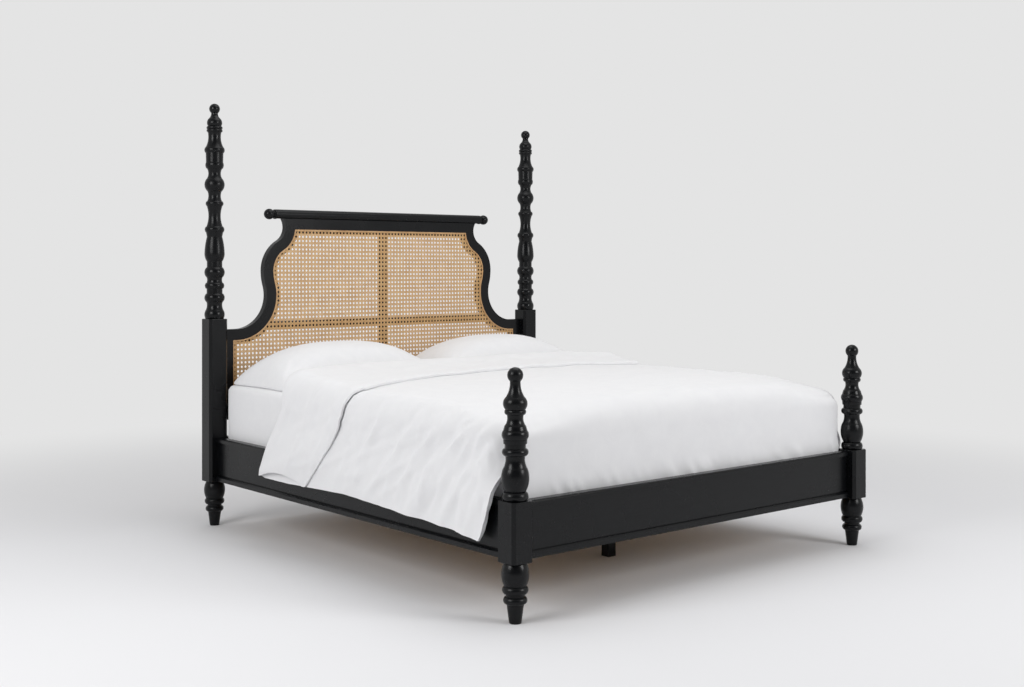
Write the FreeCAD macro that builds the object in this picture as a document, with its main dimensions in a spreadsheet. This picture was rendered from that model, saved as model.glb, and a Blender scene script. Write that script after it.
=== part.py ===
"""Four-post wooden bed with a scrolled cane headboard, its slatted base and its bedding.

Millimetres. The origin is on the floor under the middle of the bed, +X is to the right,
+Y runs towards the head and +Z is up, so the foot of the bed faces -Y.
"""
import FreeCAD
import Part
import Sketcher

import math
import os
import re

from FreeCAD import Placement, Rotation, Vector

doc = FreeCAD.newDocument("bed")
sheet = doc.addObject("Spreadsheet::Sheet", "Sizes")

# Driving sizes: name, millimetres (or a count), and what it sets.
SIZES = [
    ("mattress_width", 1800, "width of the mattress"),
    ("mattress_length", 1990, "length of the mattress"),
    ("mattress_height", 295, "height of the mattress"),
    ("mattress_shift", 2, "mattress towards the head"),
    ("side_gap", 5, "between the mattress and a side rail"),
    ("post_gap", 8, "between the mattress's head end and the head posts"),
    ("post_side", 90, "side of the square posts"),
    ("post_chamfer", 11, "chamfer on the upright corners of the posts"),
    ("post_arris", 2, "small chamfer round the ends of the posts"),
    ("foot_block", 202, "height of the square foot posts"),
    ("head_block", 730, "height of the square head posts"),
    ("screw_dia", 8, "double-ended screws that join turnings to posts"),
    ("screw_length", 100, "length of those screws"),
    ("screw_clearance", 0.3, "between a screw and its bore, all round"),
    ("bore_relief", 3, "bore left beyond the end of a screw"),
    ("rail_lift", 5, "bottom of the rails above the bottom of the posts"),
    ("rail_height", 192, "height of the rail boards"),
    ("rail_thickness", 25, "thickness of the rail boards"),
    ("rail_setback", 40, "rail board behind the outer face of the posts"),
    ("mould_depth", 10, "how far the mouldings stand out from the rail"),
    ("cap_height", 21, "moulding along the top of the rails"),
    ("cap_lip", 4, "step under the top moulding"),
    ("cap_round", 8, "rounding of the top moulding"),
    ("base_height", 23, "moulding along the bottom of the rails"),
    ("base_bevel", 6, "bevel on top of the bottom moulding"),
    ("groove_height", 6, "groove in the rail over the bottom moulding"),
    ("groove_depth", 3, "depth of that groove"),
    ("plate_height", 140, "hook plate let into each rail end"),
    ("plate_width", 18, "width of the hook plate"),
    ("plate_thickness", 3, "thickness of the hook plate"),
    ("hook_length", 14, "hook standing out of the plate"),
    ("hook_height", 30, "height of a hook"),
    ("hook_thickness", 3, "thickness of a hook"),
    ("hook_spacing", 80, "between the two hooks of a plate"),
    ("hook_clearance", 0.5, "round a hook in its slot and a plate in its recess"),
    ("slat_drop", 57, "top of the slats below the top of the rails"),
    ("slat_thickness", 20, "thickness of a slat"),
    ("slat_width", 120, "width of a slat"),
    ("slat_end_gap", 60, "first and last slat from the end rails"),
    ("slat_count", 11, "number of slats"),
    ("slat_clearance", 2, "between a slat's end and the rail"),
    ("ledger_width", 25, "strip that carries the slat ends"),
    ("ledger_height", 40, "height of that strip"),
    ("ledger_short", 20, "how far the strip stops short of the posts"),
    ("beam_width", 40, "beam under the middle of the slats"),
    ("beam_height", 60, "height of that beam"),
    ("support_side", 40, "side of the square centre legs"),
    ("support_spacing", 1080, "between the centre legs"),
    ("hanger_gauge", 2, "sheet steel of the beam hangers"),
    ("hanger_reach", 40, "how far a hanger carries the beam"),
    ("hanger_cheek", 36, "height of a hanger's cheeks"),
    ("hanger_back", 76, "height of a hanger's back plate"),
    ("hanger_ear", 18, "back plate beyond the beam on each side"),
    ("hanger_clearance", 0.3, "between the beam and a hanger's cheeks"),
    ("frame_thickness", 32, "thickness of the headboard frame"),
    ("frame_forward", 5, "front of the headboard before the post axes"),
    ("band_width", 50, "face of the headboard frame"),
    ("stile_width", 46, "face of the straight stiles beside the posts"),
    ("ledge_width", 20, "rebated ledge that the cane lies on"),
    ("recess_depth", 6, "depth of that rebate"),
    ("shoulder_rise", 833, "centre of the shoulder curve above the legs"),
    ("shoulder_radius", 153, "hollow shoulder curve, outer edge"),
    ("shoulder_tuck", 16, "how far the shoulder curve goes in under the belly"),
    ("belly_climb", 113, "widest point of the belly above the shoulder's centre"),
    ("neck_climb", 204, "narrowest point of the neck above the belly"),
    ("neck_inset", 116, "neck narrower than the belly on each side"),
    ("neck_radius", 74, "hollow neck curve, outer edge"),
    ("crest_climb", 40, "top of the headboard frame above the neck"),
    ("joint_gap", 10, "joint of stile and scroll below the foot of the curved ledge"),
    ("bottom_rise", 270, "underside of the headboard's bottom rail above the legs"),
    ("bottom_height", 70, "face of that bottom rail"),
    ("tenon_length", 36, "tenons of the headboard frame"),
    ("tenon_height", 30, "height of a tenon"),
    ("tenon_thickness", 10, "thickness of a tenon"),
    ("tenon_clearance", 0.2, "round a tenon in its mortise"),
    ("mullion_width", 60, "upright bar behind the cane"),
    ("crossbar_height", 40, "level bars behind the cane"),
    ("crossbar_drop", 143, "middle of the level bars below the shoulder's centre"),
    ("bar_thickness", 20, "thickness of the bars behind the cane"),
    ("cane_thickness", 2, "thickness of the cane sheet"),
    ("cane_clearance", 0.3, "between the cane and its rebate"),
    ("mesh_across", 12, "openings across the cane, a coarse stand-in for its weave"),
    ("spline_width", 6, "reed strip over the edge of the cane"),
    ("spline_height", 3.4, "height of that strip"),
    ("rod_dia", 46, "round crest rod"),
    ("rod_overhang", 45, "crest rod beyond the neck on each side"),
    ("rod_flat", 3, "flat planed on the rod where it sits on the frame"),
    ("spigot_clearance", 0.2, "between a knob's spigot and its bore"),
    ("soft_gap", 0.3, "between bedding and what it lies on"),
    ("mattress_corner", 44, "rounding of the mattress corners in plan"),
    ("mattress_edge", 38, "rounding of its top and bottom edges"),
    ("pillow_length", 880, "length of a pillow"),
    ("pillow_depth", 480, "depth of a pillow"),
    ("pillow_height", 182, "height of a pillow at its crown"),
    ("pillow_edge", 34, "height of a pillow's short ends"),
    ("pillow_seam", 60, "seam above the mattress"),
    ("pillow_waist", 14, "how far the long sides draw in"),
    ("pillow_between", 20, "between the two pillows"),
    ("pillow_back", 6, "pillows from the head end of the mattress"),
    ("pillow_gap", 4, "between the pillows and the duvet's fold"),
    ("duvet_loft", 56, "thickness of the duvet over the edge of the mattress"),
    ("duvet_crown", 8, "extra height of the duvet along its middle"),
    ("duvet_shoulder", 80, "rounding of the duvet over the edge of the mattress"),
    ("drape_ease", 1.5, "between the hanging duvet and the rail moulding"),
    ("drape_thickness", 14, "thickness of the hanging duvet"),
    ("hem_start", 3, "hanging sides from the mattress's foot end"),
    ("foot_lap", 93, "how far the tucked end laps under the top"),
    ("foot_tuck", 12, "tucked end below the top of the foot rail"),
    ("tuck_clearance", 6, "tucked end to the foot posts"),
    ("flap_thickness", 13, "the turned-back end lying on the duvet"),
    ("flap_drop", 113, "lower end of the turned-back sides above the bottom of the rails"),
    ("flap_left", 607, "hem of the turned-back end from the fold, at the left edge of the top"),
    ("flap_middle", 302, "the same hem along the middle of the bed"),
    ("flap_right", 287, "the same hem at the right edge of the top"),
    ("flap_slant", 260, "how much nearer the head that hem is at its lower ends"),
]

# Hem of the hanging sides: share of the way from foot to fold, height above the bottom of the
# rails, and how far the fold swings out.
HEM = [
    ("hem_foot", 0, 101, 0),
    ("hem_corner", 0.06, 45, 4),
    ("hem_near", 0.17, 66, -1),
    ("hem_second", 0.3, 79, 4),
    ("hem_third", 0.44, 93, -1),
    ("hem_middle", 0.58, 106, 4),
    ("hem_fourth", 0.74, 93, -1),
    ("hem_fifth", 0.875, 79, 3),
    ("hem_head", 1, 92, 0),
]

# Turned pieces, from the bottom up: member, height, lower diameter (none where it runs on
# from the member below), upper diameter, and how far its side swells out or hollows in.
LEG = [
    ("pad", 3, 39, 42, 0),
    ("taper", 61, None, 58, 0),
    ("lower_ring", 24, 66, 66, 7),
    ("neck", 9, 62, 62, 0),
    ("upper_ring", 25, 74, 76, 6),
    ("bulb", 78, 74, 72, 10),
]
FINIAL = [
    ("base_ring", 28, 78, 76, 5.5),
    ("vase", 76, 68, 82, 8.5),
    ("vase_neck", 43, None, 66, -4),
    ("collar", 24, 74, 74, 7),
    ("collar_neck", 15, 70, 70, 0),
    ("step_ring", 14, 78, 80, 0),
    ("great_ring", 32, 78, 76, 6.5),
    ("lip", 12, 79, 72, 0),
    ("cove", 38, None, 57, -5),
    ("cuff", 17, 64, 64, 4),
    ("bell", 40, 68, 62, 8),
    ("bell_neck", 52, None, 36, -4.5),
]
SPINDLE = [
    ("base_ring", 40, 80, 78, 5.5),
    ("first_neck", 36, None, 72, -3.5),
    ("first_bead", 38, 74, 74, 8),
    ("second_neck", 22, 70, 70, 0),
    ("first_ring", 26, 76, 76, 5),
    ("third_neck", 26, 72, 72, -3),
    ("second_bead", 44, 74, 72, 8.5),
    ("fourth_neck", 26, 68, 68, 0),
    ("vase_foot", 40, None, 89, 3.5),
    ("vase_body", 72, None, 68, 2),
    ("vase_flare", 20, None, 76, 0),
    ("second_ring", 26, 78, 76, 5),
    ("long_cove", 94, 72, 70, -8.5),
    ("third_ring", 20, 72, 70, 4),
    ("fifth_neck", 44, 66, 62, -4.5),
    ("globe", 60, None, 66, 12.5),
    ("sixth_neck", 44, None, 68, -6),
    ("fourth_ring", 28, 73, 76, 3.5),
    ("cup", 42, None, 78, 0),
    ("fifth_ring", 26, 80, 80, 5),
    ("flare", 68, 78, 60, -6),
    ("lower_cuff", 13, 65, 65, 3),
    ("upper_cuff", 13, None, 64, 3.5),
    ("bell", 38, 58, 46, 7.5),
    ("bell_neck", 22, None, 30, -2.5),
]
KNOB = [
    ("spigot", 30, 20, 20, 0),
    ("collar", 8, 45, 45, 0),
    ("neck", 6, 34, 30, 0),
]
BALLS = [
    ("finial_ball", 53, "ball on top of a foot finial"),
    ("spindle_ball", 48, "ball on top of a head spindle"),
    ("knob_ball", 50, "ball at each end of the crest rod"),
]


def turning_rows(prefix, members):
    """Sheet rows for the heights, diameters and swells of one turned piece."""
    rows = []
    for name, rise, low, high, bulge in members:
        rows.append((f"{prefix}_{name}_rise", rise, f"{prefix}: height of the {name}"))
        if low is not None:
            rows.append((f"{prefix}_{name}_low", low, f"{prefix}: lower diameter of the {name}"))
        rows.append((f"{prefix}_{name}_high", high, f"{prefix}: upper diameter of the {name}"))
        if bulge:
            rows.append((f"{prefix}_{name}_bulge", bulge, f"{prefix}: swell of the {name}"))
    return rows


def hem_rows():
    """Sheet rows for the hanging sides of the duvet."""
    rows = []
    for name, share, height, swing in HEM:
        rows.append((f"{name}_share", share, f"{name}: share of the way from foot to fold"))
        rows.append((f"{name}_height", height, f"{name}: height of the hem above the bottom of the rails"))
        rows.append((f"{name}_swing", swing, f"{name}: how far the fold swings out"))
    return rows


ROWS = SIZES + BALLS + hem_rows()
for turned_name, turned_members in (("leg", LEG), ("finial", FINIAL), ("spindle", SPINDLE), ("knob", KNOB)):
    ROWS = ROWS + turning_rows(turned_name, turned_members)
for row_number, (row_alias, row_value, row_note) in enumerate(ROWS, start=1):
    sheet.set(f"A{row_number}", row_note)
    sheet.set(f"B{row_number}", str(row_value))
    sheet.setAlias(f"B{row_number}", row_alias)
doc.recompute()
ALIASES = {row[0] for row in ROWS}


def bound(text):
    """Expression text with every size name pointed at the sheet."""
    return re.sub(r"[a-z]\w*", lambda word: "Sizes." + word[0] if word[0] in ALIASES else word[0], text)


def mm(text):
    """Value of an expression on the sheet."""
    return float(sheet.evalExpression(bound(text)))


def bind(item, **expressions):
    """Bind properties to expressions; an underscore in a name stands for a dot."""
    for name, text in expressions.items():
        item.setExpression(name.replace("_", "."), bound(text))


def seat(item, x="0", y="0", z="0"):
    """Bind the place of a piece to expressions."""
    bind(item, Placement_Base_x=x, Placement_Base_y=y, Placement_Base_z=z)


# Levels and faces that several pieces share, as expressions on the sheet.
def stack(prefix, members):
    """Expression for the height of a stack of turned members."""
    return "(" + " + ".join(f"{prefix}_{member[0]}_rise" for member in members) + ")"


HEAD_END = "(mattress_length / 2 + mattress_shift)"
FOOT_END = "(mattress_length / 2 - mattress_shift)"
LEG_TOP = stack("leg", LEG)
RAIL_X = "(mattress_width / 2 + side_gap)"
FACE_X = f"({RAIL_X} + rail_thickness + rail_setback - post_side)"
FACE_Y = f"({HEAD_END} + post_gap)"
RAIL_Y = f"({FACE_Y} + post_side - rail_setback - rail_thickness)"
POST_X = f"({FACE_X} + post_side / 2)"
POST_Y = f"({FACE_Y} + post_side / 2)"
MOULD_X = f"({RAIL_X} + rail_thickness + mould_depth)"
RAIL_LOW = f"({LEG_TOP} + rail_lift)"
RAIL_TOP = f"({RAIL_LOW} + rail_height)"
RAIL_MIDDLE = f"({RAIL_LOW} + rail_height / 2)"
SLAT_TOP = f"({RAIL_TOP} - slat_drop)"
LEDGER_TOP = f"({SLAT_TOP} - slat_thickness)"
BEAM_LOW = f"({LEDGER_TOP} - beam_height)"
FRAME_FRONT = f"({POST_Y} - frame_forward)"
LEDGE_FACE = f"({FRAME_FRONT} + recess_depth)"
BOTTOM_LOW = f"({LEG_TOP} + bottom_rise)"
BOTTOM_FACE_TOP = f"({BOTTOM_LOW} + bottom_height)"
STILE_IN = f"({FACE_X} - stile_width)"
LEDGE_IN = f"({STILE_IN} - ledge_width)"
SHOULDER = f"({LEG_TOP} + shoulder_rise)"
BELLY = f"({SHOULDER} + belly_climb)"
NECK = f"({BELLY} + neck_climb)"
CREST = f"({NECK} + crest_climb)"
BELLY_HALF = f"({LEDGE_IN} - shoulder_radius + shoulder_tuck)"
NECK_HALF = f"({BELLY_HALF} - neck_inset)"
NECK_IN = f"({NECK_HALF} - band_width - ledge_width)"
JOINT = f"({SHOULDER} - shoulder_radius - band_width - ledge_width - joint_gap)"
MATTRESS_LOW = f"({SLAT_TOP} + soft_gap)"
MATTRESS_TOP = f"({MATTRESS_LOW} + mattress_height)"
SCREW_BORE = "(screw_dia / 2 + screw_clearance)"
SCREW_DEPTH = "(screw_length / 2 + bore_relief)"
ALONG_X = Rotation(Vector(0, 1, 0), 90)
UPRIGHT = Rotation(Vector(1, 0, 0), 90)
SIDES = (("left", -1), ("right", 1))


def block(label, centre, lengths):
    """Box about a centre, both given as expressions."""
    item = doc.addObject("Part::Box", label)
    bind(item, Length=lengths[0], Width=lengths[1], Height=lengths[2])
    corner = [f"{place} - ({length}) / 2" for place, length in zip(centre, lengths)]
    seat(item, *corner)
    return item


def span_block(label, x, y, z):
    """Box between two expressions along each axis."""
    centre = [f"(({low}) + ({high})) / 2" for low, high in (x, y, z)]
    return block(label, centre, [f"({high}) - ({low})" for low, high in (x, y, z)])


def bore(label, x, y, z, radius, height):
    """Upright cylinder that stands at x, y, z."""
    item = doc.addObject("Part::Cylinder", label)
    bind(item, Radius=radius, Height=height)
    seat(item, x, y, z)
    return item


def group(label, items):
    """Several solids as one object."""
    item = doc.addObject("Part::Compound", label)
    item.Links = items
    return item


def fuse(label, items):
    """Several solids joined to one."""
    item = doc.addObject("Part::MultiFuse", label)
    item.Shapes = items
    return item


def cut(label, base, tools):
    """A solid with the tools cut out of it."""
    item = doc.addObject("Part::Cut", label)
    item.Base = base
    item.Tool = tools[0] if len(tools) == 1 else group(label + "_tools", tools)
    return item


def arc_between(start, end, bulge):
    """Arc from start to end that swells to the right of its chord by bulge.

    Returns the arc and the sketch's numbers for its start and end points.
    """
    chord = end - start
    right = Vector(chord.y, -chord.x, 0).normalize()
    radius = (chord.Length ** 2 / 4 + bulge ** 2) / (2 * abs(bulge))
    apex = (start + end) * 0.5 + right * bulge
    centre = apex - right * math.copysign(radius, bulge)
    first, last = (start, end) if bulge > 0 else (end, start)
    angle_first = math.atan2(first.y - centre.y, first.x - centre.x)
    angle_last = math.atan2(last.y - centre.y, last.x - centre.x)
    if angle_last <= angle_first:
        angle_last += 2 * math.pi
    arc = Part.ArcOfCircle(Part.Circle(centre, Vector(0, 0, 1), radius), angle_first, angle_last)
    return arc, ((1, 2) if bulge > 0 else (2, 1))


def draw(sketch, corners, arcs):
    """Draw a closed chain anticlockwise and bind its corners and arcs to the sheet.

    corners holds pairs of expressions. arcs gives, for the stretch after a corner, the
    expressions of its radius and of how far it swells out of its chord.
    """
    points = [Vector(mm(x), mm(z), 0) for x, z in corners]
    ends = []
    for number, start in enumerate(points):
        end = points[(number + 1) % len(points)]
        if number in arcs:
            curve, order = arc_between(start, end, mm(arcs[number][1]))
        else:
            curve, order = Part.LineSegment(start, end), (1, 2)
        ends.append((sketch.addGeometry(curve), order))
    rules = []
    texts = {}
    for number, (geometry, order) in enumerate(ends):
        following, next_order = ends[(number + 1) % len(ends)]
        rules.append(Sketcher.Constraint("Coincident", geometry, order[1], following, next_order[0]))
        for axis, kind, text, value in (
            (-2, "DistanceX", corners[number][0], points[number].x),
            (-1, "DistanceY", corners[number][1], points[number].y),
        ):
            if value == 0:
                rules.append(Sketcher.Constraint("PointOnObject", geometry, order[0], axis))
            else:
                texts[len(rules)] = text
                rules.append(Sketcher.Constraint(kind, -1, 1, geometry, order[0], value))
        if number in arcs:
            texts[len(rules)] = arcs[number][0]
            rules.append(Sketcher.Constraint("Radius", geometry, mm(arcs[number][0])))
    sketch.addConstraint(rules)
    for index, text in texts.items():
        sketch.setExpression(f"Constraints[{index}]", bound(text))


def body_with_sketch(label, plane):
    """New body with a sketch on one of its own planes."""
    body = doc.addObject("PartDesign::Body", label)
    sketch = body.newObject("Sketcher::SketchObject", label + "_outline")
    support = [item for item in body.Origin.OriginFeatures if item.Role == plane][0]
    sketch.AttachmentSupport = (support, [""])
    sketch.MapMode = "FlatFace"
    return body, sketch


def padded_body(label, plane, corners, arcs, length, middle=False):
    """Body whose outline is drawn on one plane and padded."""
    body, sketch = body_with_sketch(label, plane)
    draw(sketch, corners, arcs)
    pad = body.newObject("PartDesign::Pad", label + "_pad")
    pad.Profile = sketch
    if middle:
        pad.Midplane = True
    bind(pad, Length=length)
    doc.recompute()
    return body


def swell_radius(rise, low, high, bulge):
    """Expression for the radius of an arc from its rise, its diameters and its swell."""
    return f"((({rise})^2 + (({high}) - ({low}))^2 / 4) / 4 + ({bulge})^2) / (2 * abs({bulge}))"


def turned_body(label, prefix, members, bore_low=False, bore_high=False, ball=None):
    """Piece turned about its upright axis, with a screw bore at either end or a ball on top."""
    body, sketch = body_with_sketch(label, "XZ_Plane")
    corners = []
    arcs = {}
    if bore_low:
        corners += [("0", SCREW_DEPTH), (SCREW_BORE, SCREW_DEPTH), (SCREW_BORE, "0")]
    else:
        corners += [("0", "0")]
    height = "0"
    above = None
    for name, rise, low, high, bulge in members:
        key = f"{prefix}_{name}"
        low_text = f"{key}_low" if low is not None else above
        if low is not None:
            corners.append((f"({low_text}) / 2", height))
        if bulge:
            radius = swell_radius(f"{key}_rise", low_text, f"{key}_high", f"{key}_bulge")
            arcs[len(corners) - 1] = (radius, f"{key}_bulge")
        height = f"{key}_rise" if height == "0" else f"{height} + {key}_rise"
        above = f"{key}_high"
        corners.append((f"{above} / 2", height))
    if ball:
        arcs[len(corners) - 1] = (f"{ball} / 2", ball_swell(ball, above))
        corners.append(("0", f"{height} + sqrt({ball}^2 - {above}^2) / 2 + {ball} / 2"))
    elif bore_high:
        corners += [(SCREW_BORE, height), (SCREW_BORE, f"{height} - {SCREW_DEPTH}")]
        corners.append(("0", f"{height} - {SCREW_DEPTH}"))
    else:
        corners.append(("0", height))
    draw(sketch, corners, arcs)
    turning = body.newObject("PartDesign::Revolution", label + "_turning")
    turning.Profile = sketch
    turning.ReferenceAxis = (sketch, ["V_Axis"])
    turning.Angle = 360
    doc.recompute()
    return body


def ball_swell(ball, neck):
    """Expression for the swell of the arc from a ball's neck over to its top."""
    level = f"sqrt({ball}^2 - {neck}^2)"
    return f"({ball} / 2 - sqrt(({ball}^2 - {ball} * {level}) / 8))"


def turn_to(item, rotation):
    """Turn a piece without moving it."""
    item.Placement = Placement(Vector(0, 0, 0), rotation)


parts = []


def keep(item, label=None):
    """List a finished sub-part under its label."""
    if label:
        item.Label = label
    parts.append(item)
    return item


# Hook plates: how the rails hang on the posts.
def hook_pieces(label, x, y, along, outward):
    """Hook plate at a rail end, the recess it lies in and the slots its hooks enter.

    x and y place the middle of the rail's end face, along is the axis that the rail runs
    along and outward the sign of the way out of the rail.
    """
    def laid(name, reach, depth, width, height, rise):
        """Box centred at a distance along the rail, measured outward from its end face."""
        moved = f"{outward} * ({reach})"
        centre = (f"{x} + {moved}", y) if along == "x" else (x, f"{y} + {moved}")
        plan = (depth, width) if along == "x" else (width, depth)
        return block(f"{label}_{name}", (*centre, f"{RAIL_MIDDLE} + {rise}"), (*plan, height))

    play = "2 * hook_clearance"
    plate = laid("plate", "-plate_thickness / 2", "plate_thickness", "plate_width", "plate_height", "0")
    recess = laid(
        "recess", "-plate_thickness / 2", "plate_thickness",
        f"plate_width + {play}", f"plate_height + {play}", "0",
    )
    hooks = []
    slots = []
    for name, rise in (("low", "-hook_spacing / 2"), ("high", "hook_spacing / 2")):
        hooks.append(laid(
            f"hook_{name}", "hook_length / 2 - plate_thickness / 4",
            "hook_length + plate_thickness / 2", "hook_thickness", "hook_height", rise,
        ))
        slots.append(laid(
            f"slot_{name}", "(hook_length + hook_clearance) / 2", "hook_length + hook_clearance",
            f"hook_thickness + {play}", f"hook_height + {play}", rise,
        ))
    return fuse(f"{label}_hook_plate", [plate] + hooks), recess, slots


BOARD_X = f"({RAIL_X} + rail_thickness / 2)"
BOARD_Y = f"({RAIL_Y} + rail_thickness / 2)"
plates = []
post_slots = {("foot", "left"): [], ("foot", "right"): [], ("head", "left"): [], ("head", "right"): []}
rail_recesses = {"left": [], "right": [], "foot": [], "head": []}
for end, end_sign in (("foot", -1), ("head", 1)):
    for side, side_sign in SIDES:
        side_plate, side_recess, side_slots = hook_pieces(
            f"side_{end}_{side}", f"{side_sign} * {BOARD_X}", f"{end_sign} * {FACE_Y}", "y", end_sign,
        )
        end_plate, end_recess, end_slots = hook_pieces(
            f"end_{end}_{side}", f"{side_sign} * {FACE_X}", f"{end_sign} * {BOARD_Y}", "x", side_sign,
        )
        plates += [side_plate, end_plate]
        rail_recesses[side].append(side_recess)
        rail_recesses[end].append(end_recess)
        post_slots[(end, side)] = side_slots + end_slots
keep(group("rail_hook_plates", plates))


# Posts, with the turned legs under them and the turned finials and spindles on them.
def post_corners():
    """Outline of a post: a square with its corners cut off."""
    near, far, side = "post_chamfer", "post_side - post_chamfer", "post_side"
    return [
        (near, "0"), (far, "0"), (side, near), (side, far),
        (far, side), (near, side), ("0", far), ("0", near),
    ]


def post(end, side, x, y, height):
    """Square post with its ends eased, bored for its screws and slotted for the rails."""
    label = f"{end}_post_{side}"
    body = padded_body(label + "_stock", "XY_Plane", post_corners(), {}, height)
    pad = body.Tip
    ends = [f"Face{number}" for number, face in enumerate(pad.Shape.Faces, start=1)
            if abs(face.normalAt(0, 0).z) > 0.99]
    eased = body.newObject("PartDesign::Chamfer", label + "_arris")
    eased.Base = (pad, ends)
    bind(eased, Size="post_arris")
    seat(body, f"{x} - post_side / 2", f"{y} - post_side / 2", LEG_TOP)
    top = f"{LEG_TOP} + {height}"
    bores = [
        bore(label + "_low_bore", x, y, LEG_TOP, SCREW_BORE, SCREW_DEPTH),
        bore(label + "_high_bore", x, y, f"{top} - {SCREW_DEPTH}", SCREW_BORE, SCREW_DEPTH),
    ]
    return keep(cut(label, body, bores + post_slots[(end, side)]))


screws = []
for end, end_sign, height, prefix, members in (
    ("foot", -1, "foot_block", "finial", FINIAL),
    ("head", 1, "head_block", "spindle", SPINDLE),
):
    for side, side_sign in SIDES:
        x = f"{side_sign} * {POST_X}"
        y = f"{end_sign} * {POST_Y}"
        top = f"({LEG_TOP} + {height})"
        post(end, side, x, y, height)
        leg = turned_body(f"{end}_leg_{side}", "leg", LEG, bore_high=True)
        seat(leg, x, y)
        keep(leg)
        turning = turned_body(f"{end}_{prefix}_{side}", prefix, members, bore_low=True, ball=f"{prefix}_ball")
        seat(turning, x, y, top)
        keep(turning)
        for name, level in (("low", LEG_TOP), ("high", top)):
            screws.append(bore(
                f"{end}_{side}_{name}_screw", x, y, f"{level} - screw_length / 2",
                "screw_dia / 2", "screw_length",
            ))
keep(group("post_screws", screws))


# Rails: a grooved board with a moulding along its top and one along its bottom.
def rail_outlines():
    """Outlines of board, top moulding and bottom moulding, outward from the board's back."""
    board, proud = "rail_thickness", "rail_thickness + mould_depth"
    groove_low, groove_high = "base_height", "base_height + groove_height"
    sunk = "rail_thickness - groove_depth"
    cap_low, top = "rail_height - cap_height", "rail_height"
    yield "rail", [
        ("0", "0"), (board, "0"), (board, groove_low), (sunk, groove_low),
        (sunk, groove_high), (board, groove_high), (board, top), ("0", top),
    ], {}
    yield "cap", [
        (board, cap_low), (f"{proud} - cap_lip", cap_low), (f"{proud} - cap_lip", f"{cap_low} + cap_lip"),
        (proud, f"{cap_low} + cap_lip"), (proud, f"{top} - cap_round"),
        (f"{proud} - cap_round", top), (board, top),
    ], {4: ("cap_round", "cap_round * (1 - sqrt(0.5))")}
    yield "base", [
        (board, "0"), (proud, "0"), (proud, "base_height - base_bevel"),
        (f"{proud} - base_bevel", "base_height"), (board, "base_height"),
    ], {}


for place, turn, x, y, length in (
    ("left", 180, f"-{RAIL_X}", "0", f"2 * {FACE_Y}"),
    ("right", 0, RAIL_X, "0", f"2 * {FACE_Y}"),
    ("foot", -90, "0", f"-{RAIL_Y}", f"2 * {FACE_X}"),
):
    for piece, corners, arcs in rail_outlines():
        label = f"foot_{piece}" if place == "foot" else f"side_{piece}_{place}"
        strip = padded_body(label + "_stock", "XZ_Plane", corners, arcs, length, middle=True)
        turn_to(strip, Rotation(Vector(0, 0, 1), turn))
        seat(strip, x, y, RAIL_LOW)
        if piece == "rail":
            keep(cut(label, strip, rail_recesses[place]))
        else:
            keep(strip, label)

head_board = span_block(
    "head_rail_stock", (f"-{FACE_X}", FACE_X), (RAIL_Y, f"{RAIL_Y} + rail_thickness"), (RAIL_LOW, RAIL_TOP),
)
keep(cut("head_rail", head_board, rail_recesses["head"]))


# Base: strips along the side rails, a beam on two legs, and the slats.
LEDGER_END = f"({FACE_Y} - ledger_short)"
BEAM_END = f"({RAIL_Y} - hanger_gauge)"
for side, side_sign in SIDES:
    keep(block(
        f"slat_ledger_{side}",
        (f"{side_sign} * ({RAIL_X} - ledger_width / 2)", "0", f"{LEDGER_TOP} - ledger_height / 2"),
        ("ledger_width", f"2 * {LEDGER_END}", "ledger_height"),
    ))
keep(block(
    "centre_beam", ("0", "0", f"{LEDGER_TOP} - beam_height / 2"),
    ("beam_width", f"2 * {BEAM_END}", "beam_height"),
))
hangers = []
for end, end_sign in (("foot", -1), ("head", 1)):
    keep(block(
        f"centre_leg_{end}", ("0", f"{end_sign} * support_spacing / 2", f"{BEAM_LOW} / 2"),
        ("support_side", "support_side", BEAM_LOW),
    ))
    half = "(beam_width / 2 + hanger_clearance)"
    carried = f"{end_sign} * ({BEAM_END} - hanger_reach / 2)"
    hanger_low = f"({BEAM_LOW} - hanger_gauge)"
    bent = [
        block(
            f"hanger_{end}_back",
            ("0", f"{end_sign} * ({RAIL_Y} - hanger_gauge / 2)", f"{hanger_low} + hanger_back / 2"),
            (f"2 * ({half} + hanger_ear)", "hanger_gauge", "hanger_back"),
        ),
        block(
            f"hanger_{end}_floor", ("0", carried, f"{BEAM_LOW} - hanger_gauge / 2"),
            (f"2 * ({half} + hanger_gauge)", "hanger_reach", "hanger_gauge"),
        ),
    ]
    for side, side_sign in SIDES:
        bent.append(block(
            f"hanger_{end}_cheek_{side}",
            (f"{side_sign} * ({half} + hanger_gauge / 2)", carried, f"{hanger_low} + hanger_cheek / 2"),
            ("hanger_gauge", "hanger_reach", "hanger_cheek"),
        ))
    hangers.append(fuse(f"hanger_{end}", bent))
keep(group("beam_hangers", hangers))
FIRST_SLAT = f"({RAIL_Y} - slat_end_gap - slat_width / 2)"
for number in range(int(mm("slat_count"))):
    keep(block(
        f"slat_{number + 1:02d}",
        ("0", f"(2 * {number} / (slat_count - 1) - 1) * {FIRST_SLAT}", f"{SLAT_TOP} - slat_thickness / 2"),
        (f"2 * ({RAIL_X} - slat_clearance)", "slat_width", "slat_thickness"),
    ))


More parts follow.
